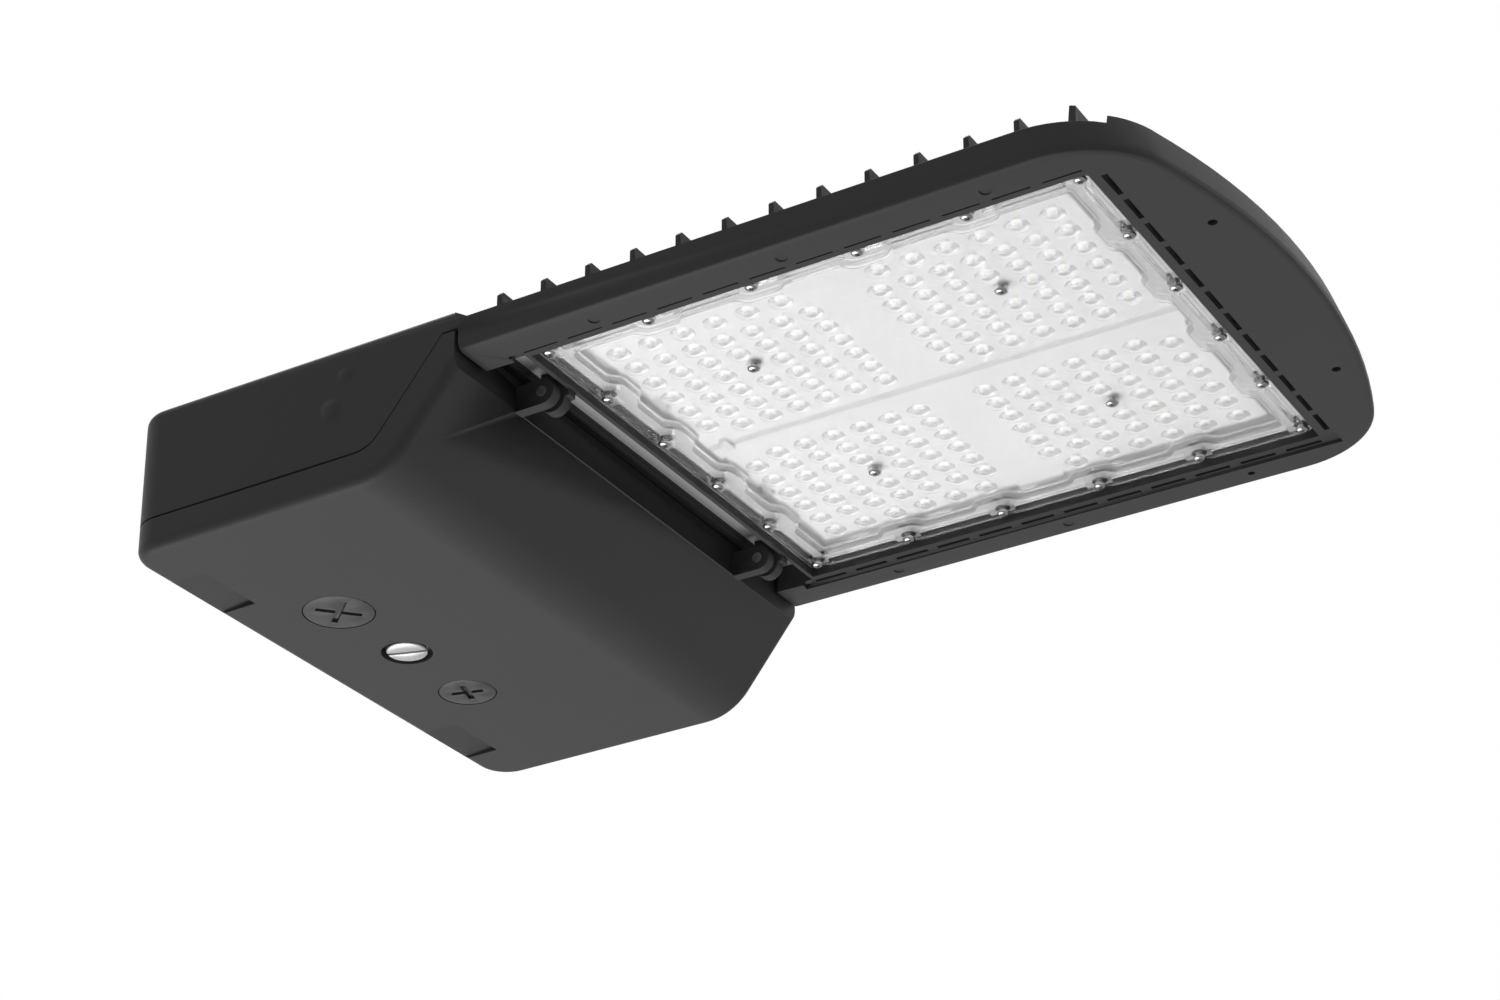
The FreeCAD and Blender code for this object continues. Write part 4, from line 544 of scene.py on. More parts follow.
class Sheet:
    """Points and faces of a closed solid made of walls, caps and fans."""

    def __init__(self):
        self.points = []
        self.faces = []

    def ring(self, loop, height):
        start = len(self.points)
        self.points += [Vector((p.x, p.y, height)) for p in loop]
        return list(range(start, len(self.points)))

    def skirt(self, low, high):
        """Quads between two rings of as many points."""
        self.faces += zip(low, low[1:] + low[:1], high[1:] + high[:1], high)

    def wall(self, loop, steps):
        """Rings of one loop at (inset, height) steps, joined by quads; gives the end rings."""
        rings = [self.ring(inset(loop, d) if d else loop, z) for d, z in steps]
        for low, high in zip(rings, rings[1:]):
            self.skirt(low, high)
        return rings[0], rings[-1]

    def fan(self, ring, centre):
        """Closes a ring with triangles to one point."""
        self.points.append(Vector(centre))
        tip = len(self.points) - 1
        self.faces += [(a, b, tip) for a, b in zip(ring, ring[1:] + ring[:1])]

    def cap(self, outer, holes=()):
        """Flat face between an outer ring and any holes, cut into triangles."""
        used = []
        owner = []
        edges = []
        for number, ring in enumerate((outer, *holes)):
            start = len(used)
            count = len(ring)
            used += ring
            owner += [number] * count
            edges += [(start + k, start + (k + 1) % count) for k in range(count)]
        flat = [self.points[i].to_2d() for i in used]
        triangles, sources = delaunay_2d_cdt(flat, edges, [], 0, SAME_POINT)[2:4]
        loops = [[self.points[i].to_2d() for i in ring] for ring in (outer, *holes)]
        for triangle in triangles:
            corners = [sources[v][0] for v in triangle]
            owners = {owner[c] for c in corners}
            if len(owners) == 1:
                number = owners.pop()
                middle = sum((flat[c] for c in corners), Vector((0.0, 0.0))) / 3
                if inside(middle, loops[number]) == (number > 0):
                    continue
            self.faces.append(tuple(used[c] for c in corners))

    def mesh(self, name, angle):
        """Finished mesh, facing outwards, smooth where faces meet at less than angle."""
        made = bpy.data.meshes.new(name)
        made.from_pydata(self.points, [], self.faces)
        work = bmesh.new()
        work.from_mesh(made)
        bmesh.ops.recalc_face_normals(work, faces=work.faces)
        loose = sum(not e.is_manifold for e in work.edges)
        work.to_mesh(made)
        work.free()
        shade(made, angle)
        print(f"{name}: {len(made.polygons)} faces, {loose} open edges")
        return made


# %% [markdown]
# ## The optic plate
# One clear moulding covers all LEDs: a thick flange with long pockets between its screws, a thinner
# sunk field, and a low dome over each LED with a small hollow behind it. The field steps inwards at
# each edge screw. Refraction only looks right in a closed solid, so it is one welded mesh. The
# domes repeat 184 times, so each has only a few rings.

# %% Places on the optic plate
lens_low, lens_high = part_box("lens")
LENS_MIDDLE = (lens_low + lens_high).to_2d() / 2
SCREW_INSET = 4.7 * MM
SCREWS_PER_SIDE = 6
INNER_COLUMN, COLUMN_PITCH = 16.4 * MM, 14.4 * MM
INNER_ROW, ROW_PITCH = 15.8 * MM, 13.2 * MM
INNER_GRID = 6
OUTER_ROW_GAP = 14.5 * MM
OUTER_ROW_FIRST, OUTER_ROW_PITCH = 23.0 * MM, 15.96 * MM
OUTER_COLUMN_FIRST, OUTER_COLUMN_PITCH = 22.3 * MM, 14.9 * MM
MODULE_STEP = 3


def spaced(low, high, count):
    return [low + (high - low) * k / (count - 1) for k in range(count)]


screw_x = spaced(lens_low.x + SCREW_INSET, lens_high.x - SCREW_INSET, SCREWS_PER_SIDE)
screw_y = spaced(lens_low.y + SCREW_INSET, lens_high.y - SCREW_INSET, SCREWS_PER_SIDE)
edge_screws = [(x, y) for x in screw_x for y in screw_y
               if x in (screw_x[0], screw_x[-1]) or y in (screw_y[0], screw_y[-1])]


def quadrants(offsets):
    """The same offsets from the middle of the plate in all four quarters."""
    return [(LENS_MIDDLE.x + sx * dx, LENS_MIDDLE.y + sy * dy)
            for sx in (-1, 1) for sy in (-1, 1) for dx, dy in offsets]


columns = [INNER_COLUMN + i * COLUMN_PITCH for i in range(INNER_GRID + 1)]
rows = [INNER_ROW + j * ROW_PITCH for j in range(INNER_GRID)]
module_screws = quadrants([(columns[MODULE_STEP], rows[MODULE_STEP])])
dome_offsets = [(dx, dy) for dx in columns[:-1] for dy in rows
                if (dx, dy) != (columns[MODULE_STEP], rows[MODULE_STEP])]
dome_offsets += [(OUTER_ROW_FIRST + i * OUTER_ROW_PITCH, rows[-1] + OUTER_ROW_GAP)
                 for i in range(INNER_GRID)]
dome_offsets += [(columns[-1], OUTER_COLUMN_FIRST + j * OUTER_COLUMN_PITCH)
                 for j in range(INNER_GRID - 1)]
domes = quadrants(dome_offsets)
print("domes:", len(domes), "edge screws:", len(edge_screws), "module screws:", len(module_screws))

# %% Outlines of the optic plate
FIELD_INSET = 11.5 * MM
JOG_INSET = 16.5 * MM
JOG_FOOT, JOG_TOP = 12.0 * MM, 7.5 * MM
CORNER_CUT = 3.0 * MM


def plate_side(number):
    """Start corner, direction, inward direction and screw distances of one side."""
    x0, x1, y0, y1 = lens_low.x, lens_high.x, lens_low.y, lens_high.y
    starts = ((x0, y0), (x1, y0), (x1, y1), (x0, y1))
    along = ((1, 0), (0, 1), (-1, 0), (0, -1))[number]
    length = (x1 - x0) if along[0] else (y1 - y0)
    places = spaced(SCREW_INSET, length - SCREW_INSET, SCREWS_PER_SIDE)
    return Vector(starts[number]), Vector(along), Vector((-along[1], along[0])), places


def field_outline(shrink=0.0):
    """Edge of the sunk field: straight runs that step inwards round every middle screw."""
    corners = []
    for number in range(4):
        start, along, inward, places = plate_side(number)
        corners.append(start + (along + inward) * FIELD_INSET)
        for place in places[1:-1]:
            for reach, depth in ((-JOG_FOOT, FIELD_INSET), (-JOG_TOP, JOG_INSET),
                                 (JOG_TOP, JOG_INSET), (JOG_FOOT, FIELD_INSET)):
                corners.append(start + along * (place + reach) + inward * depth)
    loop = rounded(corners, 2.2 * MM, 3)
    return inset(loop, shrink) if shrink else loop


def plate_outline(shrink=0.0):
    corners = []
    for number in range(4):
        start, along, inward, _places = plate_side(number)
        corners.append(start + along * shrink + inward * (CORNER_CUT + 0.4 * shrink))
        corners.append(start + inward * shrink + along * (CORNER_CUT + 0.4 * shrink))
    return rounded(corners, 0.8 * MM, 2)


def pocket_loops(width, margin):
    """Rounded slots between each two screws of every side."""
    loops = []
    near, far = SCREW_INSET - width / 2, SCREW_INSET + width / 2
    for number in range(4):
        start, along, inward, places = plate_side(number)
        for a, b in zip(places, places[1:]):
            corners = [start + along * reach + inward * depth for reach, depth in (
                (a + margin, near), (b - margin, near), (b - margin, far), (a + margin, far))]
            loops.append(rounded(corners, 1.1 * MM, 2))
    return loops


print("field outline points:", len(field_outline()))

# %% Mesh of the optic plate
FLANGE_FACE = lens_low.z
FLANGE_BACK = FLANGE_FACE + 5.2 * MM
FIELD_FACE = FLANGE_FACE + 2.8 * MM
FIELD_BACK = FLANGE_FACE + 4.6 * MM
BOARD_FACE = lens_high.z
POCKET_WIDTH, POCKET_MARGIN, POCKET_DEPTH = 3.7 * MM, 6.5 * MM, 3.6 * MM
DOME_RADIUS, DOME_HEIGHT, DOME_SIDES = 5.5 * MM, 2.3 * MM, 16
DOME_LEDGE = 0.55 * MM          # a dome stands on a short steep edge
HOLLOW_RADIUS, HOLLOW_DEPTH, HOLLOW_SIDES = 2.8 * MM, 1.4 * MM, 12
HOLE_RADIUS, HOLE_SIDES = 1.7 * MM, 12
SPACER_RADIUS = 3.4 * MM
PLATE_ROUND, MOUTH_ROUND, HOLE_ROUND = 0.35 * MM, 0.3 * MM, 0.25 * MM


def optic_plate():
    sheet = Sheet()
    face_holes, back_holes = [], []
    frosted = []
    outer_face, outer_back = sheet.wall(plate_outline(), [
        (PLATE_ROUND, FLANGE_FACE), (0, FLANGE_FACE + PLATE_ROUND),
        (0, FLANGE_BACK - PLATE_ROUND), (PLATE_ROUND, FLANGE_BACK)])
    flange = list(range(len(sheet.faces)))
    for loop in pocket_loops(POCKET_WIDTH, POCKET_MARGIN):
        first = len(sheet.faces)
        mouth, bottom = sheet.wall(loop, [
            (-MOUTH_ROUND, FLANGE_FACE), (0, FLANGE_FACE + MOUTH_ROUND),
            (0.1 * MM, FLANGE_FACE + POCKET_DEPTH - 0.4 * MM), (0.5 * MM, FLANGE_FACE + POCKET_DEPTH)])
        sheet.cap(bottom)
        frosted += range(first, len(sheet.faces))
        face_holes.append(mouth)
    for x, y in edge_screws:
        mouth, end = sheet.wall(circle(x, y, HOLE_RADIUS, HOLE_SIDES), [
            (-HOLE_ROUND, FLANGE_FACE), (0, FLANGE_FACE + HOLE_ROUND), (0, FLANGE_BACK)])
        face_holes.append(mouth)
        back_holes.append(end)
    step_face, field_face = sheet.wall(field_outline(), [
        (-MOUTH_ROUND, FLANGE_FACE), (0.05 * MM, FLANGE_FACE + MOUTH_ROUND),
        (0.6 * MM, FIELD_FACE - 0.3 * MM), (1.0 * MM, FIELD_FACE)])
    field_back, step_back = sheet.wall(field_outline(), [(0.3 * MM, FIELD_BACK), (0, FLANGE_BACK)])
    first = len(sheet.faces)
    sheet.cap(outer_face, [step_face] + face_holes)
    flange += range(first, len(sheet.faces))
    sheet.cap(outer_back, [step_back] + back_holes)

    cap_height = DOME_HEIGHT - DOME_LEDGE
    ball = (DOME_RADIUS ** 2 + cap_height ** 2) / (2 * cap_height)
    front, back = [], []
    for x, y in domes:
        steps = [(0, FIELD_FACE)]
        for share in (0.95, 0.72, 0.38):
            radius = DOME_RADIUS * share
            rise = math.sqrt(ball ** 2 - radius ** 2) - (ball - cap_height) + DOME_LEDGE
            steps.append((DOME_RADIUS - radius, FIELD_FACE - rise))
        foot, crown = sheet.wall(circle(x, y, DOME_RADIUS, DOME_SIDES), steps)
        sheet.fan(crown, (x, y, FIELD_FACE - DOME_HEIGHT))
        front.append(foot)
        mouth, roof = sheet.wall(circle(x, y, HOLLOW_RADIUS, HOLLOW_SIDES), [
            (0, FIELD_BACK), (0.7 * MM, FIELD_BACK - 0.8 * HOLLOW_DEPTH)])
        sheet.fan(roof, (x, y, FIELD_BACK - HOLLOW_DEPTH))
        back.append(mouth)
    for x, y in module_screws:
        mouth, end = sheet.wall(circle(x, y, HOLE_RADIUS, HOLE_SIDES), [
            (-MOUTH_ROUND, FIELD_FACE), (0, FIELD_FACE + MOUTH_ROUND), (0, BOARD_FACE)])
        foot, edge = sheet.wall(circle(x, y, SPACER_RADIUS, HOLE_SIDES),
                                [(0, FIELD_BACK), (0, BOARD_FACE)])
        sheet.cap(edge, [end])
        front.append(mouth)
        back.append(foot)
    sheet.cap(field_face, front)
    sheet.cap(field_back, back)
    made = sheet.mesh("optic_plate", 35.0)
    for number in frosted:
        made.polygons[number].material_index = 1
    for number in flange:
        made.polygons[number].material_index = 2
    return made


lens = new_object("optic_plate", optic_plate())
wear(lens, CLEAR, FROSTED, FLANGE)
hand_over(lens, "fixture", "clear_lens", "lens")


# %% [markdown]
# ## The gasket under the flange
# A flat silicone sheet seals the plate to the casting. It follows the flange, with a round hole at
# every screw boss, and shows as the pale grey band through the clear flange.

# %% Gasket
GASKET_MARGIN = 0.4 * MM
BOSS_RADIUS = 3.6 * MM
gasket_low, gasket_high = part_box("lens_gasket")


def gasket_mesh():
    sheet = Sheet()
    low, high = gasket_low.z, gasket_high.z
    outer = sheet.wall(plate_outline(GASKET_MARGIN), [(0, low), (0, high)])
    inner = sheet.wall(field_outline(0.5 * MM), [(0, low), (0, high)])
    rings = [sheet.wall(circle(x, y, BOSS_RADIUS + 0.1 * MM, 20), [(0, low), (0, high)])
             for x, y in edge_screws]
    for end in (0, 1):
        sheet.cap(outer[end], [inner[end]] + [ring[end] for ring in rings])
    return sheet.mesh("plate_gasket", 35.0)


gasket = new_object("plate_gasket", gasket_mesh())
wear(gasket, SILICONE)
hand_over(gasket, "fixture", "silicone", "lens_gasket")


# %% [markdown]
# ## Things that repeat: geometry nodes
# Screws and LED packages are one shape set at many places. A node tree takes a cloud of points,
# puts a shape on each one, makes the copies real and sets the material. Two small trees do: one
# sets an object that was modelled once, and one makes a low prism with a chosen number of sides.

# %% Node trees
GEOMETRY, OBJECT, MATERIAL = "NodeSocketGeometry", "NodeSocketObject", "NodeSocketMaterial"
WHOLE = "NodeSocketInt"


def shape_tree(name, inputs):
    """Geometry tree that takes and gives a geometry and has further inputs."""
    return group_tree(name, "GeometryNodeTree", [("Geometry", GEOMETRY), *inputs, ("Material", MATERIAL)],
                      [("Geometry", GEOMETRY)])


def end_tree(tree, geometry, given, made):
    """Realize Instances and Set Material close every tree."""
    real = add(tree, "GeometryNodeRealizeInstances", geometry)
    paint = add(tree, "GeometryNodeSetMaterial", Geometry=real.outputs[0],
                 Material=given.outputs["Material"])
    feed(made, paint.outputs[0])
    return tree


def object_tree():
    """Sets one object on every point, with a random turn about the upright axis."""
    tree, given, made = shape_tree("set_on_points", [("Shape", OBJECT), ("Seed", WHOLE)])
    shape = add(tree, "GeometryNodeObjectInfo", given.outputs["Shape"])
    spin = tree.nodes.new("FunctionNodeRandomValue")
    spin.data_type = "FLOAT_VECTOR"
    feed(spin, Min=(0.0, 0.0, 0.0), Max=(0.0, 0.0, 2 * math.pi), Seed=given.outputs["Seed"])
    setter = add(tree, "GeometryNodeInstanceOnPoints", Points=given.outputs["Geometry"],
                  Instance=shape.outputs["Geometry"], Rotation=spin.outputs["Value"])
    return end_tree(tree, setter.outputs[0], given, made)


def prism_tree():
    """Sets an upright prism on every point."""
    tree, given, made = shape_tree("prisms_on_points", [
        ("Sides", WHOLE), ("Radius", FLOAT), ("Height", FLOAT), ("Turn", FLOAT)])
    take = given.outputs
    prism = add(tree, "GeometryNodeMeshCylinder", Vertices=take["Sides"],
                 Radius=take["Radius"], Depth=take["Height"])
    facing = add(tree, "ShaderNodeCombineXYZ", Z=take["Turn"])
    setter = add(tree, "GeometryNodeInstanceOnPoints", Points=take["Geometry"],
                  Instance=prism.outputs["Mesh"], Rotation=facing.outputs[0])
    return end_tree(tree, setter.outputs[0], given, made)


def grow(name, points, tree, **values):
    """Runs a tree on a cloud of points and keeps its result as a plain mesh."""
    cloud = bpy.data.meshes.new(name)
    cloud.from_pydata(points, [], [])
    piece = new_object(name, cloud)
    modifier = piece.modifiers.new("nodes", "NODES")
    modifier.node_group = tree
    for socket in tree.interface.items_tree:
        if socket.name in values:
            modifier[socket.identifier] = values[socket.name]
    return settle(piece)


OBJECT_TREE = object_tree()
PRISM_TREE = prism_tree()
print("trees:", OBJECT_TREE.name, PRISM_TREE.name)


# %% [markdown]
# ## Turned pieces
# Screws, plugs, rings and washers are turned or moulded round. A profile of radius and height pairs
# is spun about an upright axis, and cutters take away slots and recesses with an exact boolean.

# %% Lathe and cutters
ROUND_WITHIN = 38.0             # degrees, so that a turned face stays smooth and its rim sharp
def lathe(name, profile, centre=(0.0, 0.0), sides=48, closed=False):
    """Spins (radius, height) pairs about an upright axis. A closed profile makes a ring."""
    sheet = Sheet()
    x, y = centre
    if closed:
        profile = profile + profile[:1]
    rings = []
    for radius, height in profile:
        if radius < 1e-9:
            rings.append(None)
            continue
        rings.append(sheet.ring(circle(x, y, radius, sides), height))
    if closed:
        rings[-1] = rings[0]
    for low, high, near, far in zip(rings, rings[1:], profile, profile[1:]):
        if low is None:
            sheet.fan(high, (x, y, near[1]))
        elif high is None:
            sheet.fan(low, (x, y, far[1]))
        else:
            sheet.skirt(low, high)
    return new_object(name, sheet.mesh(name, 30.0))


def wedge(name, length, width, low, high, taper=1.0, angle=0.0, centre=(0.0, 0.0)):
    """Block across a head, for slots; its upper end is shorter and thinner by taper."""
    points = []
    for height, share in ((low, 1.0), (high, taper)):
        for sx, sy in ((-1, -1), (1, -1), (1, 1), (-1, 1)):
            flat = Vector((sx * length / 2 * share, sy * width / 2 * share, 0))
            flat.rotate(Matrix.Rotation(angle, 3, "Z"))
            points.append(flat + Vector((*centre, height)))
    faces = [(3, 2, 1, 0), (4, 5, 6, 7)]
    faces += [(k, (k + 1) % 4, (k + 1) % 4 + 4, k + 4) for k in range(4)]
    mesh = bpy.data.meshes.new(name)
    mesh.from_pydata(points, [], faces)
    return new_object(name, mesh)


def carve(piece, *cutters, bevel=0.0):
    """Takes the cutters away from a piece, and rounds what is left where bevel is given."""
    for cutter in cutters:
        away = piece.modifiers.new("cut", "BOOLEAN")
        away.operation = "DIFFERENCE"
        away.solver = "EXACT"
        away.object = cutter
    if bevel:
        round_edges(piece, bevel, 40.0, "OFFSET")
    settle(piece)
    remove_objects(*cutters)
    shade(piece.data, ROUND_WITHIN)
    return piece


# %% [markdown]
# ## Pan-head screws
# The plate is held by twenty small chrome screws with a crossed recess and by four more in its
# field. One screw is turned, its recess is two tapered blades, and the node tree sets it at every
# place with a random turn, because no two screws stop at the same angle.

# %% Pan-head screws
def pan_head(name, radius, height, shank, length):
    """Screw whose head hangs below z = 0 and whose shank goes up."""
    profile = [(0, -height), (0.42 * radius, -0.99 * height), (0.72 * radius, -0.86 * height),
               (0.92 * radius, -0.58 * height), (radius, -0.22 * height), (0.97 * radius, 0),
               (shank, 0), (shank, length - 0.5 * shank), (0, length)]
    head = lathe(name, profile, sides=28)
    blades = [wedge(f"blade_{k}", 1.15 * radius, 0.27 * radius, -height - 0.3 * MM, -0.25 * height,
                    0.42, k * math.pi / 2) for k in (0, 1)]
    return carve(head, *blades)


def drive_screws(name, places, radius, height, shank, length, seed, material):
    """Pan-head screws at (x, y, seat) places."""
    pattern = pan_head("pattern_screw", radius, height, shank, length)
    made = grow(name, places, OBJECT_TREE, Shape=pattern, Seed=seed, Material=material)
    remove_objects(pattern)
    shade(made.data, ROUND_WITHIN)
    return made


SCREW_HEAD, SCREW_HEAD_HEIGHT, SCREW_SHANK = 2.95 * MM, 1.6 * MM, 1.45 * MM
SCREW_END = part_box("lens_screws")[1].z
edge_set = drive_screws("plate_screws", [(x, y, FLANGE_FACE) for x, y in edge_screws], SCREW_HEAD,
                        SCREW_HEAD_HEIGHT, SCREW_SHANK, SCREW_END - FLANGE_FACE, 4, CHROME)
hand_over(edge_set, "fixture", "screw_steel", "lens_screws")
module_set = drive_screws("field_screws", [(x, y, FIELD_FACE) for x, y in module_screws], SCREW_HEAD,
                          1.3 * MM, SCREW_SHANK, SCREW_END - FIELD_FACE, 9, CHROME)
hand_over(module_set, "fixture", "screw_steel", "module_screws")


# %% [markdown]
# ## LED packages and boards
# Each dome has one small square package behind it: a ceramic body with a round phosphor window.
# Both are prisms set on the same points.

# %% LED packages
LED_SIZE, LED_HEIGHT = 3.0 * MM, 0.7 * MM
WINDOW_RADIUS, WINDOW_HEIGHT = 1.15 * MM, 0.08 * MM
body_points = [(x, y, BOARD_FACE - LED_HEIGHT / 2) for x, y in domes]
packages = grow("led_packages", body_points, PRISM_TREE, Sides=4, Radius=LED_SIZE / math.sqrt(2),
                Height=LED_HEIGHT, Turn=math.pi / 4, Material=LED_BODY)
hand_over(packages, "fixture", "led_package", "leds_right", "leds_left")
window_points = [(x, y, BOARD_FACE - LED_HEIGHT - WINDOW_HEIGHT / 2) for x, y in domes]
windows = grow("led_windows", window_points, PRISM_TREE, Sides=14, Radius=WINDOW_RADIUS,
               Height=WINDOW_HEIGHT, Turn=0.0, Material=PHOSPHOR)
hand_over(windows, "fixture", "led_package")
for node in ("led_board_right", "led_board_left"):
    wear(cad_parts[node], SOLDER_MASK)
cover_node("board_jumper", "bridge_connector", 0.3 * MM, WHITE_PLASTIC, "white_plastic")


# %% [markdown]
# ## The captive screw and the two plugs
# The door is held by one large slotted screw that stays in it, and two threaded holes are closed by
# flat plugs with a crossed slot. Heads are turned, slots are cut, and threads are a spiral swept by
# a small diamond, made by a node tree, because a thread follows a rule.

# %% Threads
def thread_tree():
    tree, given, made = shape_tree("thread", [
        ("Radius", FLOAT), ("Turns", FLOAT), ("Rise", FLOAT), ("Ridge", FLOAT), ("Place", VECTOR)])
    take = given.outputs
    spiral = add(tree, "GeometryNodeCurveSpiral", Resolution=36, Rotations=take["Turns"],
                  Start_Radius=take["Radius"], End_Radius=take["Radius"], Height=take["Rise"])
    diamond = add(tree, "GeometryNodeCurvePrimitiveCircle", Resolution=4,
                   Radius=take["Ridge"])
    sweep = add(tree, "GeometryNodeCurveToMesh", Curve=spiral.outputs["Curve"],
                 Profile_Curve=diamond.outputs["Curve"], Fill_Caps=True)
    shift = add(tree, "GeometryNodeTransform", Geometry=sweep.outputs[0],
                 Translation=take["Place"])
    return end_tree(tree, shift.outputs[0], given, made)


THREAD_TREE = thread_tree()


def add_thread(piece, centre, radius, pitch, low, high, ridge, material):
    """Joins a spiral ridge to a turned piece."""
    rise = high - low
    coil = grow("coil", [(0, 0, 0)], THREAD_TREE, Radius=radius, Turns=rise / pitch, Rise=rise,
                Ridge=ridge, Place=(*centre, low), Material=material)
    work = bmesh.new()
    work.from_mesh(piece.data)
    work.from_mesh(coil.data)
    bmesh.ops.remove_doubles(work, verts=work.verts, dist=1e-7)
    bmesh.ops.recalc_face_normals(work, faces=work.faces)
    work.to_mesh(piece.data)
    work.free()
    remove_objects(coil)
    shade(piece.data, ROUND_WITHIN)
    wear(piece, material)
    return piece


# %% Captive screw
def middle_of(node):
    low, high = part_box(node)
    return ((low + high) / 2).to_2d(), low.z, high.z


captive_centre, captive_face, captive_tip = middle_of("captive_screw")
HEAD_RADIUS, HEAD_HEIGHT = 9.85 * MM, 4.95 * MM
NECK_RADIUS, NECK_LENGTH = 3.0 * MM, 12.7 * MM
THREAD_RADIUS, THREAD_PITCH = 4.0 * MM, 1.25 * MM
SLOT_ANGLE = math.radians(19.6)


def captive_screw():
    f = captive_face
    seat = f + HEAD_HEIGHT
    collar = seat + NECK_LENGTH
    core = THREAD_RADIUS - 0.45 * MM
    profile = [(0, f), (HEAD_RADIUS - 1.1 * MM, f), (HEAD_RADIUS - 0.35 * MM, f + 0.3 * MM),
               (HEAD_RADIUS, f + 1.1 * MM), (HEAD_RADIUS, seat - 0.4 * MM), (HEAD_RADIUS - 0.4 * MM, seat),
               (NECK_RADIUS, seat), (NECK_RADIUS, collar - 0.5 * MM), (core, collar),
               (core, captive_tip - 0.8 * MM), (core - 0.8 * MM, captive_tip), (0, captive_tip)]
    screw = lathe("captive_fastener", profile, captive_centre, sides=64)
    slot = wedge("slot", 3 * HEAD_RADIUS, 2.2 * MM, f - MM, f + 2.2 * MM, 1.0, SLOT_ANGLE, captive_centre)
    carve(screw, slot, bevel=0.12 * MM)
    return add_thread(screw, captive_centre, core, THREAD_PITCH, collar + 0.5 * MM,
                      captive_tip - 1.0 * MM, 0.45 * MM, ZINC)


captive = captive_screw()
hand_over(captive, "captive_screw_body", "stainless", "captive_screw")


# %% Plugs
PLUG_HEAD_HEIGHT, PLUG_WALL, PLUG_PITCH = 3.0 * MM, 2.4 * MM, 1.814 * MM


def threaded_plug(node, name, head, shank, arm, groove, angle):
    centre, face, end = middle_of(node)
    top = face + PLUG_HEAD_HEIGHT
    core = shank - 0.55 * MM
    profile = [(0, face), (head - 0.6 * MM, face), (head - 0.15 * MM, face + 0.2 * MM),
               (head, face + 0.7 * MM),
               (head, top - 0.3 * MM), (head - 0.3 * MM, top), (core, top), (core, end - 0.5 * MM),
               (core - 0.5 * MM, end), (shank - PLUG_WALL, end), (shank - PLUG_WALL, top + 1.5 * MM),
               (0, top + 1.5 * MM)]
    body = lathe(name, profile, centre, sides=72)
    cutters = [wedge(f"groove_{k}", arm, groove, face - MM, face + 1.8 * MM, 1.0,
                     angle + k * math.pi / 2, centre) for k in (0, 1)]
    carve(body, *cutters, bevel=0.15 * MM)
    return add_thread(body, centre, core, PLUG_PITCH, top + 1.0 * MM, end - 1.2 * MM, 0.55 * MM,
                      PLUG_PLASTIC)


large = threaded_plug("large_plug", "large_closure_plug", 16.5 * MM, 13.2 * MM, 21.5 * MM, 2.9 * MM,
                      math.radians(48.0))
hand_over(large, "large_plug_body", "dark_plastic", "large_plug")
small = threaded_plug("small_plug", "small_closure_plug", 13.8 * MM, 10.4 * MM, 15.5 * MM, 3.0 * MM,
                      math.radians(17.0))
hand_over(small, "small_plug_body", "dark_plastic", "small_plug")


# %% Rings, washer and bushing
def round_ring(node, name, body, sides=16):
    """O-ring that fills its packed ring: an oval section spun about the axis."""
    low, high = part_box(node)
    centre = ((low + high) / 2).to_2d()
    half = (high.z - low.z) / 2
    outer = (high.x - low.x) / 2
    loop = [(outer - half + half * math.cos(2 * math.pi * k / sides),
             (low.z + high.z) / 2 + half * math.sin(2 * math.pi * k / sides)) for k in range(sides)]
    ring = lathe(name, loop, centre, sides=64, closed=True)
    wear(ring, RUBBER)
    hand_over(ring, body, "gasket_rubber", node)


round_ring("large_plug_oring", "large_seal_ring", "large_ring_body")
round_ring("small_plug_oring", "small_seal_ring", "small_ring_body")
cover_node("captive_washer", "retaining_washer", 0.25 * MM, NYLON, "nylon", "captive_washer_body")
cover_node("hinge_pins", "hinge_pin_pair", 0.2 * MM, STAINLESS, "stainless")
cover_node("wire_bushing", "entry_bushing", 0.5 * MM, RUBBER, "gasket_rubber")
wear(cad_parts["door_gasket"], RUBBER)
wear(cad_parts["wireway_seal"], SILICONE)


# %% [markdown]
# ## Inside the door
# The driver, the terminal block, the surge protector and their leads show when the door hangs open.

# %% Driver, blocks and box screws
cover_node("driver_case", "driver_extrusion", 0.6 * MM, DRIVER_METAL, "driver_metal")
cover_node("driver_end_caps", "driver_caps", 0.5 * MM, BLACK_PLASTIC, "black_plastic")
cover_node("terminal_block", "wiring_block", 0.4 * MM, TERMINAL_PLASTIC, "terminal_plastic")
cover_node("surge_protector", "surge_block", 0.8 * MM, BLACK_PLASTIC, "black_plastic")

BOX_HEAD, BOX_HEAD_HEIGHT, BOX_SHANK = 3.7 * MM, 2.5 * MM, 1.95 * MM


def seats(node):
    """Place under the head of each packed screw in a node."""
    low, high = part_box(node)
    centre = ((low + high) / 2).to_2d()
    if high.y - low.y > 10 * BOX_HEAD:
        return [(centre.x, y, low.z + BOX_HEAD_HEIGHT) for y in (low.y + BOX_HEAD, high.y - BOX_HEAD)]
    return [(centre.x, centre.y, low.z + BOX_HEAD_HEIGHT)]


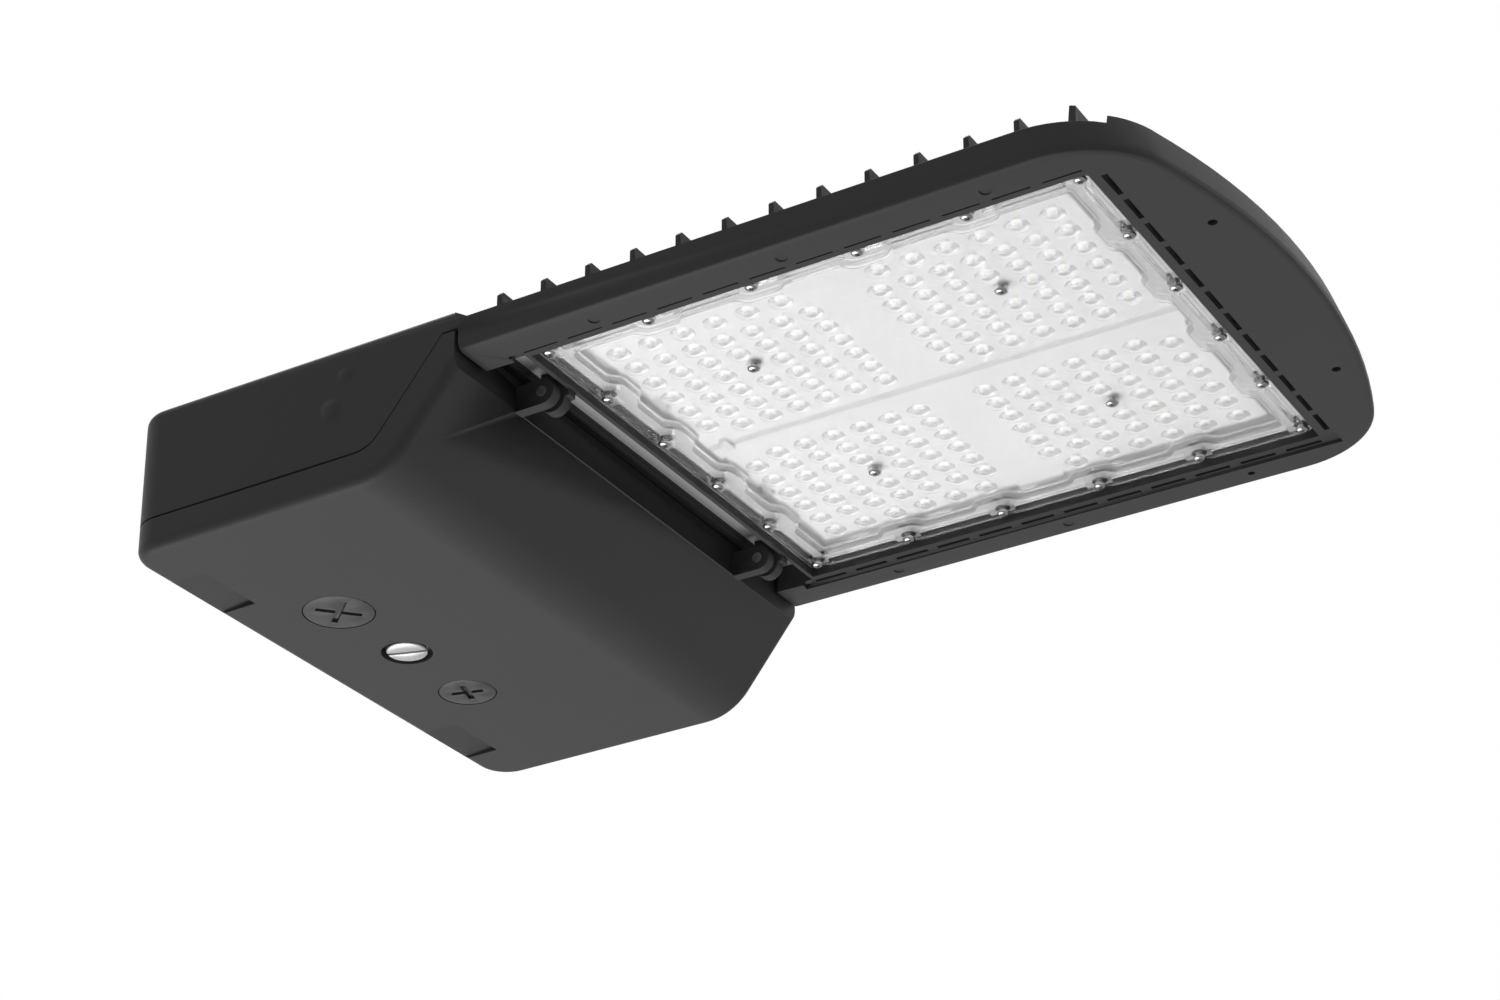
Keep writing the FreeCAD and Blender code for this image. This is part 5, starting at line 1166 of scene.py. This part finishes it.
steel_nodes = ("driver_screws", "terminal_block_screw", "surge_protector_screw")
steel_places = [place for node in steel_nodes for place in seats(node)]
box_screws = drive_screws("box_screws", steel_places, BOX_HEAD, BOX_HEAD_HEIGHT, BOX_SHANK, 5.5 * MM,
                          3, CHROME)
hand_over(box_screws, "fixture", "screw_steel", *steel_nodes)
earth = drive_screws("earth_screw", seats("ground_screw"), BOX_HEAD, BOX_HEAD_HEIGHT, BOX_SHANK,
                     5.0 * MM, 5, GREEN_ZINC)
hand_over(earth, "fixture", "green_screw", "ground_screw")


# %% [markdown]
# ## Leads
# Each lead is one smooth curve along its route, with a round section. A spline of order 3 that uses
# its end points stays close to the route's corners without ever turning sharply.

# %% Leads
LEAD_RADIUS, LED_LEAD_RADIUS = 1.3 * MM, 1.0 * MM


def insulated_lead(name, routes, radius, material, slot, node):
    """Round wires along their routes, given in millimetres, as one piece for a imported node."""
    curve = bpy.data.curves.new(name, "CURVE")
    curve.dimensions = "3D"
    curve.bevel_depth = radius
    curve.bevel_resolution = 3
    curve.use_fill_caps = True
    curve.resolution_u = 8
    for route in routes:
        spline = curve.splines.new("NURBS")
        spline.points.add(len(route) - 1)
        for point, place in zip(spline.points, route):
            point.co = (*(Vector(place) * MM), 1.0)
        spline.order_u = 3
        spline.use_endpoint_u = True
    holder = new_object(name + "_path", curve)
    mesh = evaluated_mesh(holder)
    remove_objects(holder)
    piece = new_object(name, mesh)
    wear(piece, material)
    shade(mesh, 50.0)
    hand_over(piece, "fixture", slot, node)


surge_routes = []
for x, way, turn_x in ((26, -110, 8), (31, -96, 12), (36, -82, 16)):
    surge_routes.append([(x, 77.5, 2), (x, 65.5, 2), (x, 47.5, -6), (x, -48, -6), (turn_x, -74, -6),
                         (turn_x, way, 7.4), (27, way, 7.4)])
input_routes = []
for way, turn_x, far, x in ((-110, 55, -136.5, 102), (-96, 60, -132.5, 98)):
    input_routes.append([(41, way, 13.4), (turn_x, way, 13.4), (turn_x, far, 3), (x, far, 3),
                         (x, -103.5, 3)])
led_routes = []
for x, far, front, row in ((130, 122, 152, 45.75), (126, 126, 156, 48.25)):
    led_routes.append([(x, 103.5, 3), (x, far, 3), (front, far, 3), (front, row, 23.2),
                       (214.6, row, 23.2), (214.6, row, 18.35), (219, row, 18.35)])
earth_route = [(41, -82, 13.4), (64, -82, 13.4), (64, -71, 21.45), (64, -66.3, 21.45)]
insulated_lead("surge_wires", surge_routes, LEAD_RADIUS, SURGE_WIRE, "surge_lead", "surge_leads")
insulated_lead("input_wires", input_routes, LEAD_RADIUS, MAINS_WIRE, "mains_lead", "input_leads")
insulated_lead("led_wires", led_routes, LED_LEAD_RADIUS, LED_WIRE, "led_lead", "led_leads")
insulated_lead("earth_wire", [earth_route], LEAD_RADIUS, GREEN_WIRE, "green_lead", "ground_lead")
